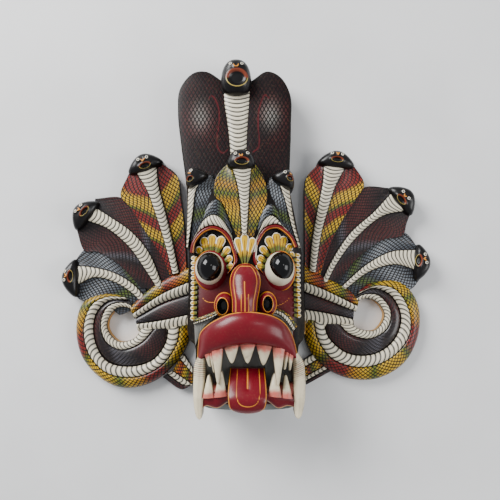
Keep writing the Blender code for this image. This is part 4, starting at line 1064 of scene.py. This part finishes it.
# Nose, nostrils and lips
nose = {
    "left": [(-2.2, -35.6, 65), (-8, -37.6, 66.5), (-12.8, -41.6, 68), (-16.4, -48, 70), (-17.6, -55.5, 71),
             (-16.6, -65, 73), (-15, -75, 76), (-15, -89, 76)],
    "right": [(0.8, -35.6, 65), (6.2, -37.6, 66.5), (10.8, -41.6, 68), (14.4, -48, 70), (15.6, -55.5, 71),
              (14.4, -65, 73), (12.4, -75, 76), (11.6, -89, 76)],
    "rise": (3, 9, 14, 17, 18, 17, 15), "rimLines": (0.9, 4.6),
    "centreLine": [(-1.6, -56.0), (-1.2, -70), (-1.0, -86)],
    "sideLines": [[(-4.8, -69), (-4.6, -86)], [(2.6, -69), (2.6, -86)]],
}
form = drawnRidge(nose["left"], nose["right"], nose["rise"], 44.0, stations=110, columns=44, power=0.85)
run = form["marks"]["run"]
inset = np.minimum.reduce([run[..., 1], run[..., 2], run[..., 0]])
form["marks"]["gold"] = np.minimum.reduce([
    *[np.abs(inset - gap) for gap in nose["rimLines"]], distanceTo(form["rings"], nose["centreLine"]) - 0.15,
    *[distanceTo(form["rings"], line) for line in nose["sideLines"]],
])
addPiece("nose", form, "crimson")
nostrils = {
    "left": {"middle": (-22.6, -79.5), "radii": (11.2, 13.8), "hole": (-24.4, -81.0), "holeRadii": (5.6, 8.2)},
    "right": {"middle": (21.8, -78.6), "radii": (10.6, 13.8), "hole": (22.4, -78.4), "holeRadii": (4.9, 7.8)},
}
nostrilForm = {
    "height": 68, "rise": 14.5, "base": 44, "holeDepth": 9.0, "holeWall": (0.72, 1.02), "rimHeight": 0.8,
    "rimAt": 1.15, "rimReach": 0.16,
}
for side, drawing in nostrils.items():
    form = dome((*drawing["middle"], nostrilForm["height"]), (*drawing["radii"], nostrilForm["rise"]),
                nostrilForm["base"], stations=44, around=100, flat=2.4)
    gap = (form["rings"][..., :2] - np.array(drawing["hole"])) / np.array(drawing["holeRadii"])
    gap = np.linalg.norm(gap, axis=-1)
    surface = form["rings"][:-1, :, 2]
    surface -= nostrilForm["holeDepth"] * (1 - smoothStep(gap[:-1], *nostrilForm["holeWall"]))
    surface += nostrilForm["rimHeight"] * bell(gap[:-1] - nostrilForm["rimAt"], nostrilForm["rimReach"])
    goldRim(form, drawing["radii"][0])
    form["marks"]["hole"] = gap
    addPiece(f"{side}_nostril_wing", form, "nostril")

lips = {
    "upperTop": [(-52, -134, 54), (-50.5, -119, 61), (-48.2, -108, 66), (-40, -99.5, 74), (-29.3, -93, 80),
                 (-16.4, -87.6, 84), (0, -85.4, 86), (14.6, -86.6, 84), (28.6, -90.2, 80), (39.6, -97.2, 74),
                 (47, -107.9, 66), (51.4, -119.5, 61), (54.5, -134, 54)],
    "upperBottom": [(-44.5, -136, 60), (-30, -126, 76), (-3.5, -119.5, 84), (28, -122.5, 78), (50.5, -135.5, 60)],
    "leftTop": [(-44, -171, 60), (-30, -168.5, 66), (-12, -167, 68)],
    "leftBottom": [(-46, -188, 58), (-41.7, -184.5, 60), (-30, -186.5, 62), (-18.7, -179.8, 65), (-12, -177.5, 66)],
    "rightTop": [(14, -167, 68), (33, -170, 66), (51, -172.5, 60)],
    "rightBottom": [(14, -177.5, 66), (22.3, -179, 65), (33, -186.5, 62), (43.5, -184.5, 60), (53.6, -187.5, 58)],
}
form = drawnRidge(lips["upperTop"], lips["upperBottom"], 12.0, 38.0, stations=150, columns=36, power=0.85)
goldAlong(form, 1, 1.2)
addPiece("upper_lip", form, "crimson")
for side in ("left", "right"):
    form = drawnRidge(lips[side + "Top"], lips[side + "Bottom"], 6.0, 36.0, stations=70, columns=24, power=0.8)
    goldAlong(form, 2, 1.1)
    addPiece(f"{side}_lower_lip", form, "crimson")

# Cheek strips above the lip: a hatched strip, a white plated band and a pale field on each side
cheekStrips = {
    "left": {
        "hatchTop": [(-26.5, -83.5), (-40.3, -89.0), (-55.5, -94.5)],
        "hatchBottom": [(-29, -88), (-41, -93), (-55.5, -98)],
        "bandBottom": [(-31, -90.5), (-42, -96), (-55.0, -100.5)],
        "fieldBottom": [(-33, -93), (-44, -103), (-55.0, -124)],
    },
    "right": {
        "hatchTop": [(22.5, -82.4), (33.6, -83.2), (45.5, -90.0), (54.5, -101.5)],
        "hatchBottom": [(23, -84.5), (33.6, -85.4), (43.8, -92.2), (52.0, -104.0)],
        "bandBottom": [(25, -88.2), (33.2, -89.4), (41.2, -96), (49.0, -107.0)],
        "fieldBottom": [(27, -89.8), (34, -92.4), (42.4, -99.5), (50.0, -118.0)],
    },
}
for side, drawing in cheekStrips.items():
    for name, first, second, lifts, rise, base, stations, finish, options in (
        ("hatch", "hatchTop", "hatchBottom", (4.0, 5.5), 0.8, 42.0, 60, "centreHood", {"columns": 8}),
        ("band", "hatchBottom", "bandBottom", (5.5, 5.5), 2.0, 42.5, 90, "belly",
         {"columns": 10, "scutes": 0.35, "pitch": 3.2, "bow": 0.8}),
        ("field", "bandBottom", "fieldBottom", (4.0, 4.0), 0.5, 43.0, 60, "paleGrey", {"columns": 10}),
    ):
        upper = onFace(curveThrough(drawing[first], stations), lifts[0])
        lower = onFace(curveThrough(drawing[second], stations), lifts[1])
        addPiece(f"{side}_cheek_{name}", ridge(upper, lower, rise, base, **options), finish)
print("nose, nostrils and lips carved")

# Mouth: gums, teeth, tusks and tongue
teeth = {
    # the two ends of the root, the tip, the tip's width and the height of the root
    "tooth_1": ((-25, -116.5), (-5.4, -114.5), (-14.4, -138.5), 2.4, 80.0),
    "tooth_2": ((-8.6, -114), (11.4, -114), (1.5, -138.5), 2.2, 81.0),
    "tooth_3": ((8.4, -114.5), (28, -118), (17.6, -140.5), 2.2, 80.0),
    "left_canine": ((-36, -123), (-22.4, -119), (-28.6, -160), 2.2, 77.0),
    "right_canine": ((26, -119), (40, -124), (32.5, -162), 2.2, 77.0),
    "left_side_tooth": ((-42.8, -131), (-34, -125.5), (-37, -143), 3.0, 72.0),
    "left_side_fang": ((-38, -129), (-32.5, -126), (-33, -149), 1.8, 73.0),
    "right_side_tooth": ((38.8, -126), (44.5, -129), (39.6, -146), 2.4, 72.0),
    "right_side_fang": ((43, -128), (49, -132), (45, -147), 2.4, 70.0),
    "lower_tooth_1": ((-45, -175), (-32.5, -174.5), (-38.6, -152), 2.2, 68.0),
    "lower_tooth_2": ((-33, -174), (-18.8, -172.5), (-26.2, -148), 2.2, 70.0),
    "lower_tooth_3": ((21.6, -172.5), (37, -174), (30, -150), 2.2, 70.0),
    "lower_tooth_4": ((36.4, -174.5), (48, -175.5), (41, -152), 2.2, 68.0),
}
toothForm = {"drop": 3.0, "fangBow": 1.5, "rises": (4.2, 4.2, 2.2), "depth": 13.0, "grooves": 0.28}
for name, (rootLeft, rootRight, tip, tipWidth, height) in teeth.items():
    t = np.linspace(0.0, 1.0, 40)[:, None]
    rootLeft, rootRight, tip = (np.array(point, dtype=float) for point in (rootLeft, rootRight, tip))
    axis = (rootLeft + rootRight) / 2 * (1 - t) + tip * t
    long = "canine" in name or "fang" in name
    half = (rootRight - rootLeft) / 2 * (1 - t) ** (0.9 if long else 0.8) + np.array([tipWidth / 2, 0.0]) * t**2
    half = half * np.sqrt(1 - np.clip((t - 0.93) / 0.075, 0, 1) ** 2 * 0.96)
    z = height - toothForm["drop"] * t + (toothForm["fangBow"] * np.sin(math.pi * t) if long else 0)
    form = ridge(np.hstack([axis - half, z]), np.hstack([axis + half, z]), toothForm["rises"],
                 height - toothForm["depth"], columns=16, power=0.8)
    grooves = toothForm["grooves"] * np.cos(form["marks"]["share"][..., 1] * math.pi * (6 if long else 4))
    form["rings"][:, 1:-1, 2] += grooves[:, 1:-1] * (1 - form["marks"]["share"][:, 1:-1, 0])
    addPiece(name, form, "frontTooth" if name.startswith("tooth") else "tooth")
gums = {
    "upper_gum": ([(-44.5, -134.5, 62), (-30, -123, 75), (-3, -117, 81), (28, -119.5, 77), (50, -134, 62)],
                  [(-43, -138.5, 59), (-30, -127.5, 72), (-3, -121.5, 78), (28, -124.5, 73), (48, -138, 59)], 46.0),
    "left_lower_gum": ([(-46, -162, 58), (-32, -163.5, 62), (-17, -166, 62)],
                       [(-46, -173, 62), (-30, -171.5, 67), (-14, -171, 67)], 26.0),
    "right_lower_gum": ([(19, -166, 62), (34, -163.5, 62), (50, -161, 58)],
                        [(16, -171, 67), (33, -172, 67), (51, -173, 62)], 26.0),
}
for name, (first, second, base) in gums.items():
    addPiece(name, drawnRidge(first, second, 2.4, base, stations=90, columns=12), "gum")
tusks = {
    "left": ([(-48, -129, 62), (-53.8, -140, 61), (-55, -154, 61), (-54.8, -178, 62), (-53, -190, 63),
              (-50.6, -197, 64)],
             [(-42.5, -132, 62), (-42.2, -141, 61), (-42.4, -154, 61), (-43.6, -172, 62), (-45, -186, 63),
              (-45.6, -197, 64)]),
    "right": ([(48, -132, 62), (48.6, -141, 61), (49.2, -154, 61), (49.2, -178, 62), (50, -190, 63),
               (50.8, -196, 64)],
              [(54, -129, 62), (60.4, -140, 61), (61.8, -154, 61), (61.2, -178, 62), (58.6, -190, 63),
               (56.6, -196, 64)]),
}
for side, (first, second) in tusks.items():
    left, right = curveThrough(first, 90), curveThrough(second, 90)
    t = np.linspace(0.0, 1.0, 90)[:, None]
    closing = np.sqrt(1 - np.clip((t - 0.955) / 0.046, 0, 1) ** 2)
    middle = (left + right) / 2
    left, right = middle + (left - middle) * closing, middle + (right - middle) * closing
    form = ridge(left, right, (8.0, 8.0, 8.0, 4.0), 44.0, columns=20, power=0.85)
    form["rings"][:, 1:-1, 2] += 0.3 * np.cos(form["marks"]["share"][:, 1:-1, 1] * math.pi * 5)
    addPiece(f"{side}_tusk", form, "tusk")

tongue = {
    "left": [(-17.5, -146, 56), (-18.5, -158, 68), (-18.8, -174, 78), (-17, -183, 77), (-11, -188, 73),
             (-4, -189.6, 70)],
    "right": [(20, -146, 56), (21, -158, 68), (21.4, -174, 78), (19.6, -183, 77), (13.5, -188, 73),
              (6.5, -189.6, 70)],
    "innerLine": [(-9.3, -146), (-9.3, -171.9), (-6.0, -178.7), (2.0, -181.2), (10.0, -178.7), (13.5, -171.9),
                  (13.5, -146)],
    "drop": [(1.4, -146), (1.4, -164.1)],
}
form = drawnRidge(tongue["left"], tongue["right"], 5.5, 38.0, stations=90, columns=48, power=0.75)
run = form["marks"]["run"]
inset = np.minimum.reduce([run[..., 1], run[..., 2], run[..., 0].max() - run[..., 0]])
groove = distanceTo(form["rings"], tongue["drop"])
form["rings"][:, 1:-1, 2] -= 1.2 * bell(groove[:, 1:-1], 2.6)
form["marks"]["gold"] = np.minimum.reduce([
    np.abs(inset - 1.2), distanceTo(form["rings"], curveThrough(tongue["innerLine"], 60)), groove - 0.3,
])
addPiece("tongue", form, "crimson")
print("mouth carved")


# Hinges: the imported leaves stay, in worn brass
def brassFinish():
    # bright brass with dull clouds, its roughness 0.22 plus a quarter of a finer cloud
    paint = Paint("worn_brass", roughness=0.34, metallic=1.0)
    colour = paint.mix(paint.step(paint.noise(900.0, 4.0), 0.35, 0.7), "brassBright", "brassDull")
    paint.feed(paint.shader.inputs["Base Color"], colour)
    rough = paint.plus(paint.times(paint.noise(1500.0), 0.25), 0.22)
    paint.feed(paint.shader.inputs["Roughness"], rough)
    return paint.material


brass = brassFinish()
for side in ("left", "right"):
    for leaf in ("face", "wing"):
        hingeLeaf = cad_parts[f"{side}_hinge_{leaf}_leaf"]
        hingeLeaf.data.materials.clear()
        hingeLeaf.data.materials.append(brass)

# Floor, light and camera
studio = {
    "floorSize": 4.0, "floorDrop": 0.0004, "skyStrength": 0.45, "skyColour": (0.93, 0.96, 1.0, 1.0),
    "mainPower": 72.0, "mainSize": (1.2, 1.0), "mainPlace": (-1.3, 1.1, 1.1),
    "fillPower": 20.0, "fillSize": (1.0, 1.0), "fillPlace": (1.6, -0.3, 1.1),
    "glintPower": 1.5, "glintSize": (0.2, 0.25), "glintPlace": (0.75, 0.35, 1.6),
}


def floor():
    # one square, white with faint clouds, a little under the mask
    half = studio["floorSize"] / 2
    mesh = bpy.data.meshes.new("floor")
    corners = [(-half, -half), (half, -half), (half, half), (-half, half)]
    mesh.from_pydata([(x, y, -studio["floorDrop"]) for x, y in corners], [], [(0, 1, 2, 3)])
    plane = bpy.data.objects.new("floor", mesh)
    bpy.context.scene.collection.objects.link(plane)
    paint = Paint("floor_paint", roughness=0.6)
    cloud = paint.step(paint.noise(5.0, 4.0), 0.35, 0.7)
    paint.feed(paint.shader.inputs["Base Color"], paint.mix(cloud, "floor", "floorShade"))
    mesh.materials.append(paint.material)


def areaLight(name, power, size, place):
    # a rectangle of light that faces the middle of the mask
    light = bpy.data.lights.new(name, "AREA")
    light.energy = power
    light.shape = "RECTANGLE"
    light.size, light.size_y = size
    lamp = bpy.data.objects.new(name, light)
    x, y, z = place
    lamp.location = place
    lamp.rotation_euler = (math.atan2(math.hypot(x, y), z), 0.0, math.atan2(x, -y))
    bpy.context.scene.collection.objects.link(lamp)


floor()
for name in ("main", "fill", "glint"):
    areaLight(f"{name}_light", studio[name + "Power"], studio[name + "Size"], studio[name + "Place"])
world = bpy.data.worlds.new("studio_sky")
world.use_nodes = True
sky = world.node_tree.nodes["Background"]
sky.inputs["Color"].default_value = studio["skyColour"]
sky.inputs["Strength"].default_value = studio["skyStrength"]
bpy.context.scene.world = world

view = {"height": 0.640, "shiftX": 0.004, "shiftY": -0.0745, "tilt": 5.25, "lens": 39.17, "sensor": 36.0}
cameraData = bpy.data.cameras.new("camera")
cameraData.lens = view["lens"]
cameraData.sensor_width = view["sensor"]
camera = bpy.data.objects.new("camera", cameraData)
camera.location = (view["shiftX"], view["shiftY"], view["height"])
camera.rotation_euler = (math.radians(view["tilt"]), 0.0, 0.0)
bpy.context.scene.collection.objects.link(camera)
bpy.context.scene.camera = camera
print("studio set")
